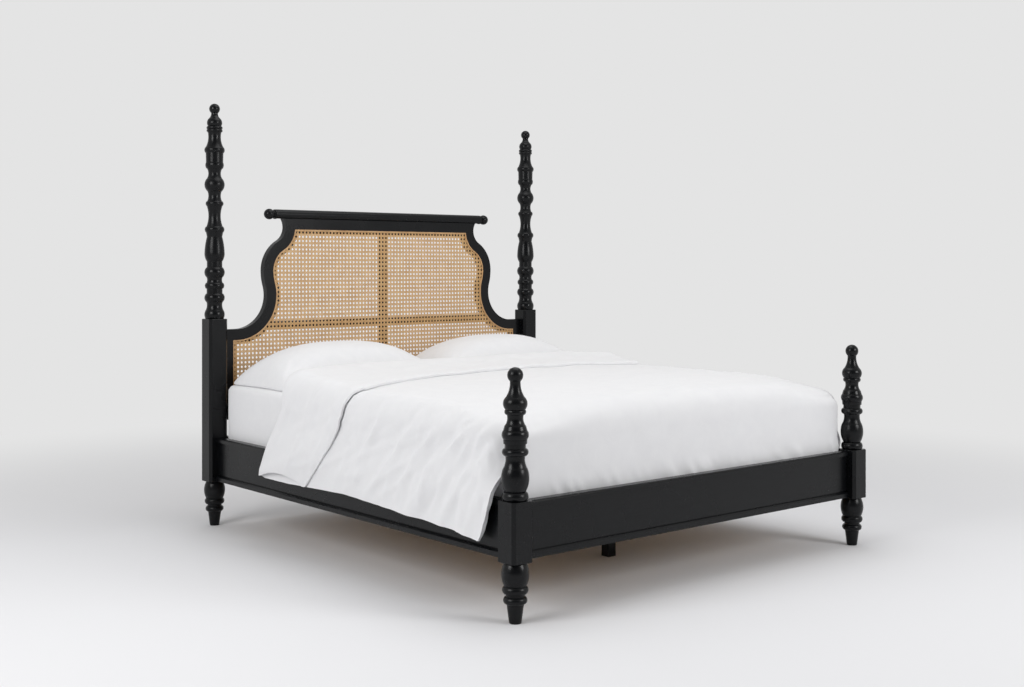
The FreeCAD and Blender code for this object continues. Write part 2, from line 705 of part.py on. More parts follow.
# Headboard: the scrolled outline is four tangent arcs, and every inset of it shares their centres.
def scroll_arcs():
    """Centres and outer radii of the neck, upper belly, lower belly and shoulder arcs.

    The radii of the two belly arcs follow from touching the neck arc and the shoulder arc.
    """
    neck_r = mm("neck_radius")
    shoulder_r = mm("shoulder_radius")
    belly = Vector(mm(BELLY_HALF), mm(BELLY), 0)
    neck = Vector(mm(NECK_HALF) + neck_r, mm(NECK), 0)
    shoulder = Vector(mm(LEDGE_IN), mm(SHOULDER), 0)

    def touching(hollow, hollow_r):
        """Radius of an arc that is widest at the belly and touches a hollow arc."""
        away = hollow.x - belly.x
        climb = hollow.y - belly.y
        return (away ** 2 + climb ** 2 - hollow_r ** 2) / (2 * (hollow_r - away))

    upper_r = touching(neck, neck_r)
    lower_r = touching(shoulder, shoulder_r)
    upper = belly - Vector(upper_r, 0, 0)
    lower = belly - Vector(lower_r, 0, 0)
    return (neck, neck_r), (upper, upper_r), (lower, lower_r), (shoulder, shoulder_r)


def arc_about(centre, radius, start, end):
    """Arc about a centre from one point to another the short way."""
    between = ((start - centre) + (end - centre)).normalize()
    return Part.Arc(start, centre + between * radius, end)


def scroll_line(inset, top):
    """Right-hand edge of the headboard at an inset, from the top level down to the shoulder."""
    (neck, neck_r), (upper, upper_r), (lower, lower_r), (shoulder, shoulder_r) = scroll_arcs()
    neck_r, shoulder_r = neck_r + inset, shoulder_r + inset
    upper_r, lower_r = upper_r - inset, lower_r - inset
    start = Vector(neck.x - math.sqrt(neck_r ** 2 - (top - neck.y) ** 2), top, 0)
    turn_in = neck + (upper - neck).normalize() * neck_r
    widest = upper + Vector(upper_r, 0, 0)
    turn_out = shoulder + (lower - shoulder).normalize() * shoulder_r
    foot = shoulder - Vector(0, shoulder_r, 0)
    return [
        arc_about(neck, neck_r, start, turn_in),
        arc_about(upper, upper_r, turn_in, widest),
        arc_about(lower, lower_r, widest, turn_out),
        arc_about(shoulder, shoulder_r, turn_out, foot),
    ]


def lines(points):
    """Straight runs from point to point."""
    return [Part.LineSegment(first, second) for first, second in zip(points, points[1:])]


def mirrored(curves):
    """The same curves on the other side of the bed's middle."""
    twins = []
    for curve in curves:
        twin = curve.copy()
        twin.mirror(Vector(0, 0, 0), Vector(0, 1, 0))
        twins.append(twin)
    return twins


def cane_outline(inset):
    """Closed outline of the cane field, inset from the edge of the frame's face."""
    level = mm(f"{CREST} - band_width") - inset
    edge = scroll_line(mm("band_width") + inset, level)
    side = mm(STILE_IN) - inset
    foot = edge[-1].EndPoint
    floor = mm(BOTTOM_FACE_TOP) + inset
    half = lines([Vector(0, level, 0), edge[0].StartPoint]) + edge
    half += lines([foot, Vector(side, foot.y, 0), Vector(side, floor, 0), Vector(0, floor, 0)])
    return half + mirrored(half)


def scroll_outline():
    """Closed outline of the right-hand scroll with the ledge that the cane lies on."""
    crest = mm(CREST)
    outer = scroll_line(0, crest)
    inner = scroll_line(mm("band_width + ledge_width"), mm(NECK))
    post_face, joint = mm(FACE_X), mm(JOINT)
    shoulder = outer[-1].EndPoint
    ledge = inner[-1].EndPoint
    neck = inner[0].StartPoint
    run = outer + lines([
        shoulder, Vector(post_face, shoulder.y, 0), Vector(post_face, joint, 0),
        Vector(ledge.x, joint, 0), ledge,
    ])
    return run + inner[::-1] + lines([neck, Vector(neck.x, crest, 0), outer[0].StartPoint])


def plate_of(label, curves, front, thickness):
    """Flat piece in the headboard's plane, from its front face back."""
    sketch = doc.addObject("Sketcher::SketchObject", label + "_outline")
    sketch.addGeometry(curves)
    turn_to(sketch, UPRIGHT)
    seat(sketch, y=front)
    doc.recompute()
    item = doc.addObject("Part::Extrusion", label)
    item.Base = sketch
    item.DirMode = "Custom"
    item.Dir = Vector(0, 1, 0)
    item.Solid = True
    bind(item, LengthFwd=thickness)
    return item


def tenon(label, x, z, lengths, play="0"):
    """Tenon in the middle of the thickness behind the rebate."""
    middle = f"({LEDGE_FACE} + (frame_thickness - recess_depth) / 2)"
    grown = [f"{length} + 2 * {play}" for length in lengths]
    return block(label, (x, middle, z), grown)


recess = plate_of("cane_recess", cane_outline(0), FRAME_FRONT, "recess_depth")
FRAME_Y = (FRAME_FRONT, f"{FRAME_FRONT} + frame_thickness")
BAND_MIDDLE = f"({CREST} - band_width / 2)"
BOTTOM_MIDDLE = f"({BOTTOM_LOW} + bottom_height / 2)"
TENON_LEVEL = ("2 * tenon_length", "tenon_thickness", "tenon_height")
TENON_UPRIGHT = ("tenon_height", "tenon_thickness", "2 * tenon_length")
STILE_MIDDLE = f"({FACE_X} - stile_width / 2)"
top_tenons = []
bottom_tenons = []
scrolls = {}
for side, side_sign in SIDES:
    neck_x = f"{side_sign} * {NECK_IN}"
    ledge_x = f"{side_sign} * {LEDGE_IN}"
    stile_x = f"{side_sign} * {STILE_MIDDLE}"
    top_tenons.append(tenon(f"top_tenon_{side}", neck_x, BAND_MIDDLE, TENON_LEVEL))
    bottom_tenons.append(tenon(f"bottom_tenon_{side}", ledge_x, BOTTOM_MIDDLE, TENON_LEVEL))
    curves = scroll_outline() if side_sign > 0 else mirrored(scroll_outline())
    blank = plate_of(f"scroll_blank_{side}", curves, FRAME_FRONT, "frame_thickness")
    scrolls[side] = keep(cut(f"headboard_scroll_{side}", blank, [
        recess,
        tenon(f"top_mortise_{side}", neck_x, BAND_MIDDLE, TENON_LEVEL, "tenon_clearance"),
        tenon(f"stile_mortise_{side}", stile_x, JOINT, TENON_UPRIGHT, "tenon_clearance"),
    ]))
    stile_edges = sorted((f"{side_sign} * {LEDGE_IN}", f"{side_sign} * {FACE_X}"), key=mm)
    stile = fuse(f"stile_stock_{side}", [
        span_block(f"stile_bar_{side}", stile_edges, FRAME_Y, (BOTTOM_LOW, JOINT)),
        tenon(f"stile_tenon_{side}", stile_x, JOINT, TENON_UPRIGHT),
    ])
    keep(cut(f"headboard_stile_{side}", stile, [
        recess,
        tenon(f"bottom_mortise_{side}", ledge_x, BOTTOM_MIDDLE, TENON_LEVEL, "tenon_clearance"),
    ]))
top_bar = span_block(
    "top_bar", (f"-{NECK_IN}", NECK_IN), FRAME_Y, (f"{CREST} - band_width - ledge_width", CREST),
)
keep(cut("headboard_top_rail", fuse("top_stock", [top_bar] + top_tenons), [recess]))
bottom_bar = span_block(
    "bottom_bar", (f"-{LEDGE_IN}", LEDGE_IN), FRAME_Y, (BOTTOM_LOW, f"{BOTTOM_FACE_TOP} + ledge_width"),
)
keep(cut("headboard_bottom_rail", fuse("bottom_stock", [bottom_bar] + bottom_tenons), [recess]))

BARS_Y = (LEDGE_FACE, f"{LEDGE_FACE} + bar_thickness")
CROSSBAR = f"({SHOULDER} - crossbar_drop)"
CROSSBAR_END = f"({LEDGE_IN} - sqrt((shoulder_radius + band_width)^2 - crossbar_drop^2))"
keep(span_block(
    "cane_mullion", ("-mullion_width / 2", "mullion_width / 2"), BARS_Y,
    (f"{BOTTOM_FACE_TOP} + ledge_width", f"{CREST} - band_width - ledge_width"),
))
for side, side_sign in SIDES:
    ends = sorted((f"{side_sign} * mullion_width / 2", f"{side_sign} * {CROSSBAR_END}"), key=mm)
    bar = span_block(
        f"crossbar_stock_{side}", ends, BARS_Y,
        (f"{CROSSBAR} - crossbar_height / 2", f"{CROSSBAR} + crossbar_height / 2"),
    )
    keep(cut(f"cane_crossbar_{side}", bar, [scrolls[side]]))

CANE_FRONT = f"({LEDGE_FACE} - cane_thickness)"
MESH_PITCH = f"(2 * {LEDGE_IN} / mesh_across)"


def mesh_spans(start, number):
    """Both ends of an opening of the cane, counted from a bar's middle."""
    return (
        f"({start} + {number} * {MESH_PITCH} + mullion_width / 2)",
        f"({start} + {number + 1} * {MESH_PITCH} - mullion_width / 2)",
    )


def mesh_openings():
    """Square openings in the cane, wherever a whole one fits inside the ledge and clear of the bars."""
    edges = [curve.toShape() for curve in cane_outline(mm("ledge_width - cane_clearance"))]
    field = Part.Face(Part.Wire(Part.__sortEdges__(edges)))
    columns = int(mm("mesh_across / 2"))
    openings = []
    for column in range(-columns, columns):
        x = mesh_spans("0", column)
        for row in range(-columns, columns):
            z = mesh_spans(CROSSBAR, row)
            side = mm(x[1]) - mm(x[0])
            square = Part.makePlane(side, side, Vector(mm(x[0]), mm(z[0]), 0))
            if field.common(square).Area > 0.999 * square.Area:
                y = (f"{CANE_FRONT} - cane_thickness", f"{CANE_FRONT} + 2 * cane_thickness")
                openings.append(span_block(f"mesh_{len(openings) + 1}", x, y, z))
    return openings


cane_sheet = plate_of("cane_sheet", cane_outline(mm("cane_clearance")), CANE_FRONT, "cane_thickness")
keep(cut("cane_panel", cane_sheet, mesh_openings()))
spline_curves = cane_outline(mm("cane_clearance")) + cane_outline(mm("cane_clearance + spline_width"))
keep(plate_of("cane_spline", spline_curves, f"{CANE_FRONT} - spline_height", "spline_height"))

# Crest rod, planed flat where it sits on the headboard, and its turned knobs.
ROD_Y = f"({FRAME_FRONT} + frame_thickness / 2)"
ROD_Z = f"({CREST} + rod_dia / 2 - rod_flat)"
ROD_END = f"({NECK_HALF} + rod_overhang)"


def level_cylinder(label, x, radius, length):
    """Cylinder along the bed's width on the rod's axis, from x to the right."""
    item = doc.addObject("Part::Cylinder", label)
    turn_to(item, ALONG_X)
    bind(item, Radius=radius, Height=length)
    seat(item, x, ROD_Y, ROD_Z)
    return item


SPIGOT_BORE = "(knob_spigot_low / 2 + spigot_clearance)"
rod_tools = [
    span_block(
        "rod_seat", (f"-{ROD_END}", ROD_END), (f"{ROD_Y} - rod_dia", f"{ROD_Y} + rod_dia"),
        (f"{CREST} - rod_dia", CREST),
    ),
    level_cylinder("rod_bore_left", f"-{ROD_END}", SPIGOT_BORE, "knob_spigot_rise + bore_relief"),
    level_cylinder(
        "rod_bore_right", f"{ROD_END} - knob_spigot_rise - bore_relief", SPIGOT_BORE,
        "knob_spigot_rise + bore_relief",
    ),
]
rod_stock = level_cylinder("rod_stock", f"-{ROD_END}", "rod_dia / 2", f"2 * {ROD_END}")
keep(cut("crest_rod", rod_stock, rod_tools))
for side, side_sign in SIDES:
    knob = turned_body(f"crest_knob_{side}", "knob", KNOB, ball="knob_ball")
    turn_to(knob, Rotation(Vector(0, 1, 0), 90 * side_sign))
    seat(knob, f"{side_sign} * ({ROD_END} - knob_spigot_rise)", ROD_Y, ROD_Z)
    keep(knob)


# Bedding.
FOLD = f"({HEAD_END} - pillow_back - pillow_depth - pillow_gap)"
HEM_START = f"(hem_start - {FOOT_END})"


def mattress():
    """Mattress with rounded corners and rolled edges."""
    wide, long, corner = "mattress_width", "mattress_length", "mattress_corner"
    corners = [
        (corner, "0"), (f"{wide} - {corner}", "0"), (wide, corner), (wide, f"{long} - {corner}"),
        (f"{wide} - {corner}", long), (corner, long), ("0", f"{long} - {corner}"), ("0", corner),
    ]
    swell = f"{corner} * (1 - sqrt(0.5))"
    rounds = {number: (corner, swell) for number in (1, 3, 5, 7)}
    body = padded_body("mattress", "XY_Plane", corners, rounds, "mattress_height")
    pad = body.Tip
    ends = [f"Face{number}" for number, face in enumerate(pad.Shape.Faces, start=1)
            if abs(face.normalAt(0, 0).z) > 0.99]
    rolled = body.newObject("PartDesign::Fillet", "mattress_roll")
    rolled.Base = (pad, ends)
    bind(rolled, Radius="mattress_edge")
    seat(body, "-mattress_width / 2", "mattress_shift - mattress_length / 2", MATTRESS_LOW)
    return keep(body)


def soft_solid(label, shape):
    """Soft piece whose form is lofted from the sheet's sizes."""
    item = doc.addObject("Part::Feature", label)
    item.Shape = shape
    return keep(item)


def pillow(side, side_sign):
    """Pillow: a crowned lens across, full in the middle and thin at its short ends."""
    half = mm("pillow_length") / 2
    seam = mm("pillow_seam")
    edge = mm("pillow_edge") / 2
    rise = mm("pillow_height") - seam
    middle_x = side_sign * mm("pillow_length + pillow_between") / 2
    middle_y = mm(f"{HEAD_END} - pillow_back - pillow_depth / 2")
    low = mm(f"{MATTRESS_TOP} + soft_gap")
    sections = []
    for share in (-1, -0.85, -0.5, 0, 0.5, 0.85, 1):
        fullness = math.sqrt(1 - share ** 4)
        depth = mm("pillow_depth") / 2 - mm("pillow_waist") * (1 - share ** 2)
        x = middle_x + share * half
        front = Vector(x, middle_y - depth, low + seam)
        back = Vector(x, middle_y + depth, low + seam)
        crown = Vector(x, middle_y, low + seam + edge + (rise - edge) * fullness)
        under = Vector(x, middle_y, low + seam - edge - (seam - edge) * fullness)
        arcs = [Part.Arc(front, crown, back), Part.Arc(back, under, front)]
        sections.append(Part.Wire([arc.toShape() for arc in arcs]))
    return soft_solid(f"pillow_{side}", Part.makeLoft(sections, True, False))


def chain(points, bends):
    """Closed wire through points, with arcs where a bend gives the point that they pass."""
    edges = []
    for number, start in enumerate(points):
        end = points[(number + 1) % len(points)]
        if number in bends:
            edges.append(Part.Arc(start, bends[number], end).toShape())
        else:
            edges.append(Part.LineSegment(start, end).toShape())
    return Part.Wire(edges)


def saddle_section(y, hem, swing, inner, outer):
    """Section of the duvet across the bed, hanging on both sides to the hem.

    inner and outer give, for each face: half width of the hanging side, where that side
    starts to round over, half width of the flat top, its height and its rise in the middle.
    """
    def half(face, sign):
        """Hem, top of the hanging side and edge of the top on one side."""
        reach, turn, flat, top, _ = face
        return [
            Vector(sign * (reach + swing), y, hem), Vector(sign * reach, y, turn),
            Vector(sign * flat, y, top),
        ]

    def bend(face, sign):
        """Point on the round between the hanging side and the top."""
        reach, turn, flat, top, _ = face
        across = flat + (reach - flat) * math.sqrt(0.5)
        return Vector(sign * across, y, turn + (top - turn) * math.sqrt(0.5))

    points = half(outer, -1) + half(outer, 1)[::-1] + half(inner, 1) + half(inner, -1)[::-1]
    bends = {
        1: bend(outer, -1), 2: Vector(0, y, outer[3] + outer[4]), 3: bend(outer, 1),
        7: bend(inner, 1), 8: Vector(0, y, inner[3] + inner[4]), 9: bend(inner, -1),
    }
    if not inner[4]:
        del bends[8]
    return chain(points, bends)


def duvet():
    """Duvet over the mattress: hanging sides in folds, a tucked foot and a turned-back head."""
    gap = mm("soft_gap")
    under = mm(f"{MATTRESS_TOP} + soft_gap")
    over = under + mm("duvet_loft")
    side_in = mm(f"{MOULD_X} + drape_ease")
    side_out = side_in + mm("drape_thickness")
    round_in = mm("mattress_edge")
    shoulder = mm("duvet_shoulder")
    edge_in = mm("mattress_width") / 2 - round_in
    inner = (side_in, under - round_in, edge_in, under, 0)
    outer = (side_out, over - shoulder, side_out - shoulder, over, mm("duvet_crown"))
    sections = []
    for name, *_ in HEM:
        place = mm(f"{HEM_START} + {name}_share * ({FOLD} - {HEM_START})")
        hem = mm(f"{RAIL_LOW} + {name}_height")
        sections.append(saddle_section(place, hem, mm(f"{name}_swing"), inner, outer))
    saddle = Part.makeLoft(sections, True, False)

    # The foot end goes over the mattress and down inside the foot rail, between the posts.
    end = mm(FOOT_END) + gap
    tucked = mm(RAIL_Y) - gap
    hem = mm(f"{RAIL_TOP} - foot_tuck")
    half = mm(f"{FACE_X} - tuck_clearance")
    start = end - mm("foot_lap")
    top = over + mm("duvet_crown") / 2
    soft = math.sqrt(0.5)
    outline = [
        Vector(-half, -start, under), Vector(-half, -(end - round_in), under),
        Vector(-half, -end, under - round_in), Vector(-half, -end, hem),
        Vector(-half, -tucked, hem), Vector(-half, -tucked, top - shoulder),
        Vector(-half, -(tucked - shoulder), top), Vector(-half, -start, top),
    ]
    bends = {
        1: Vector(-half, -(end - round_in * (1 - soft)), under - round_in * (1 - soft)),
        5: Vector(-half, -(tucked - shoulder * (1 - soft)), top - shoulder * (1 - soft)),
    }
    foot = Part.Face(chain(outline, bends)).extrude(Vector(2 * half, 0, 0))

    whole = saddle.fuse([foot, turned_back(side_out, over)])
    return soft_solid("duvet", whole.removeSplitter().Solids[0])


def turned_back(side, top):
    """Head end of the duvet turned back over its top, with a hem that slants down the sides.

    side and top are the half width and the height of the duvet that it lies on.
    """
    flap = mm("flap_thickness")
    sunk = mm("drape_thickness") / 2
    crown = mm("duvet_crown")
    turn = top - mm("duvet_shoulder")
    flat = side - mm("duvet_shoulder")
    drop = mm(f"{RAIL_LOW} + flap_drop")
    slant = mm("flap_slant")
    left, middle, right = (mm(f"{FOLD} - flap_{place}") for place in ("left", "middle", "right"))
    first = min(left, middle, right)
    inner = (side - sunk, turn, flat, top - sunk, crown)
    outer = (side + flap, turn, flat, top + flap, crown)
    ends = [saddle_section(y, drop, 0, inner, outer) for y in (first, mm(FOLD))]
    whole = Part.makeLoft(ends, True, True)

    # What lies beyond the hem, over the top and on each side, is cut away.
    far = side + 2 * flap
    before = first - flap
    outline = [
        Vector(-far, before, turn), Vector(far, before, turn),
        Vector(far, right, turn), Vector(-far, left, turn),
    ]
    over_top = Part.Face(chain(outline, {2: Vector(0, middle, turn)}))
    waste = [over_top.extrude(Vector(0, 0, 2 * mm("duvet_shoulder")))]
    for sign, hem in ((-1, left), (1, right)):
        corners = [(before, turn), (before, 0), (hem + slant, 0), (hem + slant, drop), (hem, turn)]
        points = [Vector(0, y, z) for y, z in corners]
        waste.append(Part.Face(Part.makePolygon(points + points[:1])).extrude(Vector(sign * far, 0, 0)))
    return whole.cut(waste)


mattress()
for side, side_sign in SIDES:
    pillow(side, side_sign)
duvet()


# Every object and every sub-part is sound before anything is written.
doc.recompute()
for item in doc.Objects:
    if "Invalid" in item.State or "Error" in item.State:
        raise RuntimeError(f"{item.Name} failed: {item.State}")
for item in parts:
    if item.Shape.isNull() or not item.Shape.isValid() or not item.Shape.Solids:
        raise RuntimeError(f"{item.Label} has no sound solid")

os.makedirs("parts", exist_ok=True)
for item in parts:
    item.Shape.exportStep(f"parts/{item.Label}.step")
print(len(parts), "sub-parts")
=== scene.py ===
"""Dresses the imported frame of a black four-post bed: lacquered wood, woven cane and white bedding."""
import logging
import math
from collections.abc import Callable, Iterator
from contextlib import contextmanager
from dataclasses import dataclass
from enum import Enum
from functools import partial
from typing import Any

import bpy
import numpy as np
from bpy.types import Material, Node, NodeSocket, NodeTree, Object
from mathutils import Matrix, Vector, noise


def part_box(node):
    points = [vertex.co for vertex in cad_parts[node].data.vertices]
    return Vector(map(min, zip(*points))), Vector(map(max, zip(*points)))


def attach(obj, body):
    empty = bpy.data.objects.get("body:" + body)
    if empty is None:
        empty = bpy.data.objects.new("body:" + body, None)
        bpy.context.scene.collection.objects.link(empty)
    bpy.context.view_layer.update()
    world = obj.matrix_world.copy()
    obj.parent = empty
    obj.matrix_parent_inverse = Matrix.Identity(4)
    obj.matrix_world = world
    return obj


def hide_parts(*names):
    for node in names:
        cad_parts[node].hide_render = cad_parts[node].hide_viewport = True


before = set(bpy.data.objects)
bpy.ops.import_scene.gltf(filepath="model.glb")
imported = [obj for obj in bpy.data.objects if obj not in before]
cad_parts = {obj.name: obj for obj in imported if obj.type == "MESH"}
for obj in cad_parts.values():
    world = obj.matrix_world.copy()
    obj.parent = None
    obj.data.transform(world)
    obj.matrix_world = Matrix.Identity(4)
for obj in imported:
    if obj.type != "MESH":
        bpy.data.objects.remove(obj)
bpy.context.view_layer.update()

LOG = logging.getLogger("four_post_bed")
MM = 0.001
SAME = 1e-5
LEVEL = 90.0
Line = tuple[tuple[float, float], ...]


class Axis(Enum):
    """The way that a board or a strand runs."""

    X = 0
    Y = 1
    Z = 2


class Side(Enum):
    """Left or right of someone who stands at the foot end."""

    LEFT = -1
    RIGHT = 1


def linear(colour: str) -> tuple[float, float, float, float]:
    """Turn an sRGB hex colour into linear light.

    Args:
        colour: six hex digits after a hash.

    Returns:
        Red, green, blue and an alpha of one.
    """
    parts = [int(colour[i:i + 2], 16) / 255 for i in (1, 3, 5)]
    red, green, blue = (p / 12.92 if p <= 0.04045 else ((p + 0.055) / 1.055) ** 2.4 for p in parts)
    return red, green, blue, 1.0


def add_node(tree: NodeTree, kind: str, inputs: dict[str | int, Any] | None = None, **settings: Any ) -> Node:
    """Add one node, with its settings and what feeds it.

    Args:
        tree: node tree that takes the node.
        kind: Blender's name for the node type, less its ShaderNode.
        inputs: socket to a value, to another node's output, or to a node, whose first output is meant.
        settings: attributes of the node itself.

    Returns:
        The new node.
    """
    node = tree.nodes.new(f"ShaderNode{kind}")
    for key, value in settings.items():
        setattr(node, key, value)
    for key, value in (inputs or {}).items():
        if isinstance(value, Node):
            value = value.outputs[0]
        if isinstance(value, NodeSocket):
            tree.links.new(value, node.inputs[key])
        else:
            node.inputs[key].default_value = value
    return node


def start_material(name: str) -> tuple[Material, Callable[..., Node], NodeSocket]:
    """Make a material that holds only the Object coordinates.

    Args:
        name: what the real material is.

    Returns:
        The material, add_node for its tree, and the coordinates.
    """
    material = bpy.data.materials.new(name)
    material.use_nodes = True
    material.node_tree.nodes.clear()
    add = partial(add_node, material.node_tree)
    return material, add, add("TexCoord").outputs["Object"]


def per_metre(size: float) -> float:
    """Turn a pattern's size in millimetres into repeats per metre."""
    return 1.0 / (size * MM)


def grain(run: Axis, width: float, length: float) -> tuple[float, ...]:
    """Give the repeats per metre, on each axis, of a pattern that is drawn out along the grain."""
    return tuple(per_metre(length if axis is run else width) for axis in Axis)


@dataclass(frozen=True)
class BlackLacquer:
    """Satin black lacquer, brushed on planed and turned hardwood."""

    run: Axis
    colour: str = "#07080a"
    thin: str = "#101113"
    pore_width: float = 2.6
    pore_length: float = 90.0
    cloud: float = 160.0

    def material(self) -> Material:
        """Build the finish.

        Returns:
            The material.
        """
        # A near black with a soft shine, in which the filled pores still show as faint lines.
        material, add, place = start_material(f"satin_black_lacquer_{self.run.name.lower()}")
        # Pores of about half a millimetre are drawn wider, or they would not show from a step away.
        scale = grain(self.run, self.pore_width, self.pore_length)
        along = add("Mapping", {"Vector": place, "Scale": scale})
        pores = add("TexNoise", {"Vector": along, "Scale": 1.0, "Detail": 3.0, "Roughness": 0.6})
        clouds = add("TexNoise", {"Vector": place, "Scale": per_metre(self.cloud), "Detail": 3.0})
        depth = add("MapRange", {"Value": pores.outputs["Fac"], "From Min": 0.35, "From Max": 0.7})
        tint = add("Mix", {0: depth, 6: linear(self.colour), 7: linear(self.thin)}, data_type="RGBA")
        gloss = add(
            "MapRange",
            {"Value": clouds.outputs["Fac"], "From Min": 0.3, "From Max": 0.7, "To Min": 0.22, "To Max": 0.32})
        bump = add("Bump", {"Height": pores.outputs["Fac"], "Strength": 0.12, "Distance": 0.0006})
        shader = add(
            "BsdfPrincipled",
            {"Base Color": tint.outputs[2], "Roughness": gloss, "Normal": bump,
             "IOR": 1.5, "Specular IOR Level": 0.22})
        add("OutputMaterial", {"Surface": shader})
        return material


@dataclass(frozen=True)
class PlanedPine:
    """Unfinished planed pine, as on slats and their ledgers."""

    run: Axis
    early: str = "#d9b98a"
    late: str = "#b98a56"
    ring_width: float = 9.0
    ring_length: float = 900.0

    def material(self) -> Material:
        """Build the finish.

        Returns:
            The material.
        """
        # Pale wood with long growth lines and a dry, dull surface.
        material, add, place = start_material(f"planed_pine_{self.run.name.lower()}")
        scale = grain(self.run, self.ring_width, self.ring_length)
        along = add("Mapping", {"Vector": place, "Scale": scale})
        rings = add("TexNoise", {"Vector": along, "Scale": 1.0, "Detail": 4.0, "Distortion": 0.4})
        share = add("MapRange", {"Value": rings.outputs["Fac"], "From Min": 0.4, "From Max": 0.66})
        tint = add("Mix", {0: share, 6: linear(self.early), 7: linear(self.late)}, data_type="RGBA")
        bump = add("Bump", {"Height": rings.outputs["Fac"], "Strength": 0.15, "Distance": 0.0008})
        shader = add(
            "BsdfPrincipled", {"Base Color": tint.outputs[2], "Normal": bump, "Roughness": 0.62, "IOR": 1.5})
        add("OutputMaterial", {"Surface": shader})
        return material


@dataclass(frozen=True)
class ZincSteel:
    """Zinc-plated steel of screws, hangers and hook plates."""

    colour: str = "#b9bcc0"
    dull: str = "#94979c"
    spangle: float = 6.0

    def material(self) -> Material:
        """Build the finish.

        Returns:
            The material.
        """
        # A cool grey metal, in which the plating shows as dull and bright patches.
        material, add, place = start_material("zinc_plated_steel")
        patches = add("TexVoronoi", {"Vector": place, "Scale": per_metre(self.spangle)})
        tint = add(
            "Mix",
            {0: patches.outputs["Distance"], 6: linear(self.colour), 7: linear(self.dull)}, data_type="RGBA")
        rough = add("MapRange", {"Value": patches.outputs["Distance"], "To Min": 0.3, "To Max": 0.5})
        shader = add("BsdfPrincipled", {"Base Color": tint.outputs[2], "Roughness": rough, "Metallic": 1.0})
        add("OutputMaterial", {"Surface": shader})
        return material


@dataclass(frozen=True)
class RattanCane:
    """Split rattan skin, shaved flat, woven or glued down as a reed."""

    name: str = "rattan_cane"
    pale: str = "#cca570"
    deep: str = "#b48850"
    patch: float = 55.0
    fibre: float = 1.4

    def material(self) -> Material:
        """Build the finish.

        Returns:
            The material.
        """
        # A tan skin with a low natural gloss, which differs from strand to strand.
        material, add, place = start_material(self.name)
        patches = add("TexNoise", {"Vector": place, "Scale": per_metre(self.patch), "Detail": 6.0})
        # Fibres of a few tenths of a millimetre are drawn coarser, or they would not show.
        fibres = add("TexNoise", {"Vector": place, "Scale": per_metre(self.fibre), "Detail": 2.0})
        share = add(
            "MapRange",
            {"Value": patches.outputs["Fac"], "From Min": 0.3, "From Max": 0.75, "To Min": 0.0, "To Max": 0.7})
        tint = add("Mix", {0: share, 6: linear(self.pale), 7: linear(self.deep)}, data_type="RGBA")
        bump = add("Bump", {"Height": fibres.outputs["Fac"], "Strength": 0.2, "Distance": 0.0003})
        shader = add(
            "BsdfPrincipled", {"Base Color": tint.outputs[2], "Normal": bump, "Roughness": 0.42, "IOR": 1.5})
        add("OutputMaterial", {"Surface": shader})
        return material


@dataclass(frozen=True)
class WhiteCotton:
    """White percale cotton, plain woven, washed and lightly creased."""

    name: str
    colour: str = "#e8e8e9"
    shade: str = "#e2e2e4"
    thread: float = 1.6
    crease: float = 60.0
    crease_depth: float = 0.0016

    def material(self) -> Material:
        """Build the finish.

        Returns:
            The material.
        """
        # A matt white with a faint halo at grazing angles, a fine weave and soft small creases.
        material, add, place = start_material(self.name)
        # Threads lie about 0.25 mm apart, and are drawn coarser so that the weave shows close up.
        threads = {"Vector": place, "Scale": per_metre(self.thread) / math.tau, "Distortion": 0.4}
        weft, warp = (add("TexWave", threads, bands_direction=way) for way in "XY")
        weave = add("Math", {0: weft.outputs["Fac"], 1: warp.outputs["Fac"]}, operation="MULTIPLY")
        creases = add(
            "TexNoise", {"Vector": place, "Scale": per_metre(self.crease), "Detail": 3.0, "Distortion": 0.6})
        tint = add(
            "Mix",
            {0: creases.outputs["Fac"], 6: linear(self.colour), 7: linear(self.shade)}, data_type="RGBA")
        soft = add("Bump", {"Height": creases.outputs["Fac"], "Strength": 0.5, "Distance": self.crease_depth})
        fine = add("Bump", {"Height": weave, "Strength": 0.15, "Distance": 0.0002, "Normal": soft})
        shader = add(
            "BsdfPrincipled",
            {"Base Color": tint.outputs[2], "Normal": fine, "Roughness": 0.85, "IOR": 1.5,
             "Specular IOR Level": 0.25, "Sheen Weight": 0.12, "Sheen Roughness": 0.5})
        add("OutputMaterial", {"Surface": shader})
        return material


def dress(piece: Object, material: Material) -> None:
    """Give a piece one finish."""
    piece.data.materials.clear()
    piece.data.materials.append(material)


def pick(piece: Object) -> None:
    """Make a piece the only selected and active object.

    Args:
        piece: object to pick.
    """
    bpy.ops.object.select_all(action="DESELECT")
    piece.select_set(True)
    bpy.context.view_layer.objects.active = piece


@contextmanager
def editing(action: str | None = None) -> Iterator[None]:
    """Work on the active piece in edit mode.

    Args:
        action: SELECT or DESELECT to start with all of it or none, None to keep what is selected.

    Yields:
        Nothing, while the piece is in edit mode.
    """
    bpy.ops.object.mode_set(mode="EDIT")
    if action:
        bpy.ops.mesh.select_all(action=action)
    yield
    bpy.ops.object.mode_set(mode="OBJECT")


def settle_in_place(piece: Object) -> None:
    """Put a piece's place, turn and size into its mesh."""
    pick(piece)
    bpy.ops.object.transform_apply(location=True, rotation=True, scale=True)


def add_box(low: Vector, high: Vector) -> Object:
    """Add a box between two corners.

    Args:
        low: lowest corner in metres.
        high: highest corner.

    Returns:
        The box.
    """
    bpy.ops.object.select_all(action="DESELECT")
    bpy.ops.mesh.primitive_cube_add(size=1, location=(low + high) / 2)
    box = bpy.context.object
    box.scale = high - low
    settle_in_place(box)
    return box


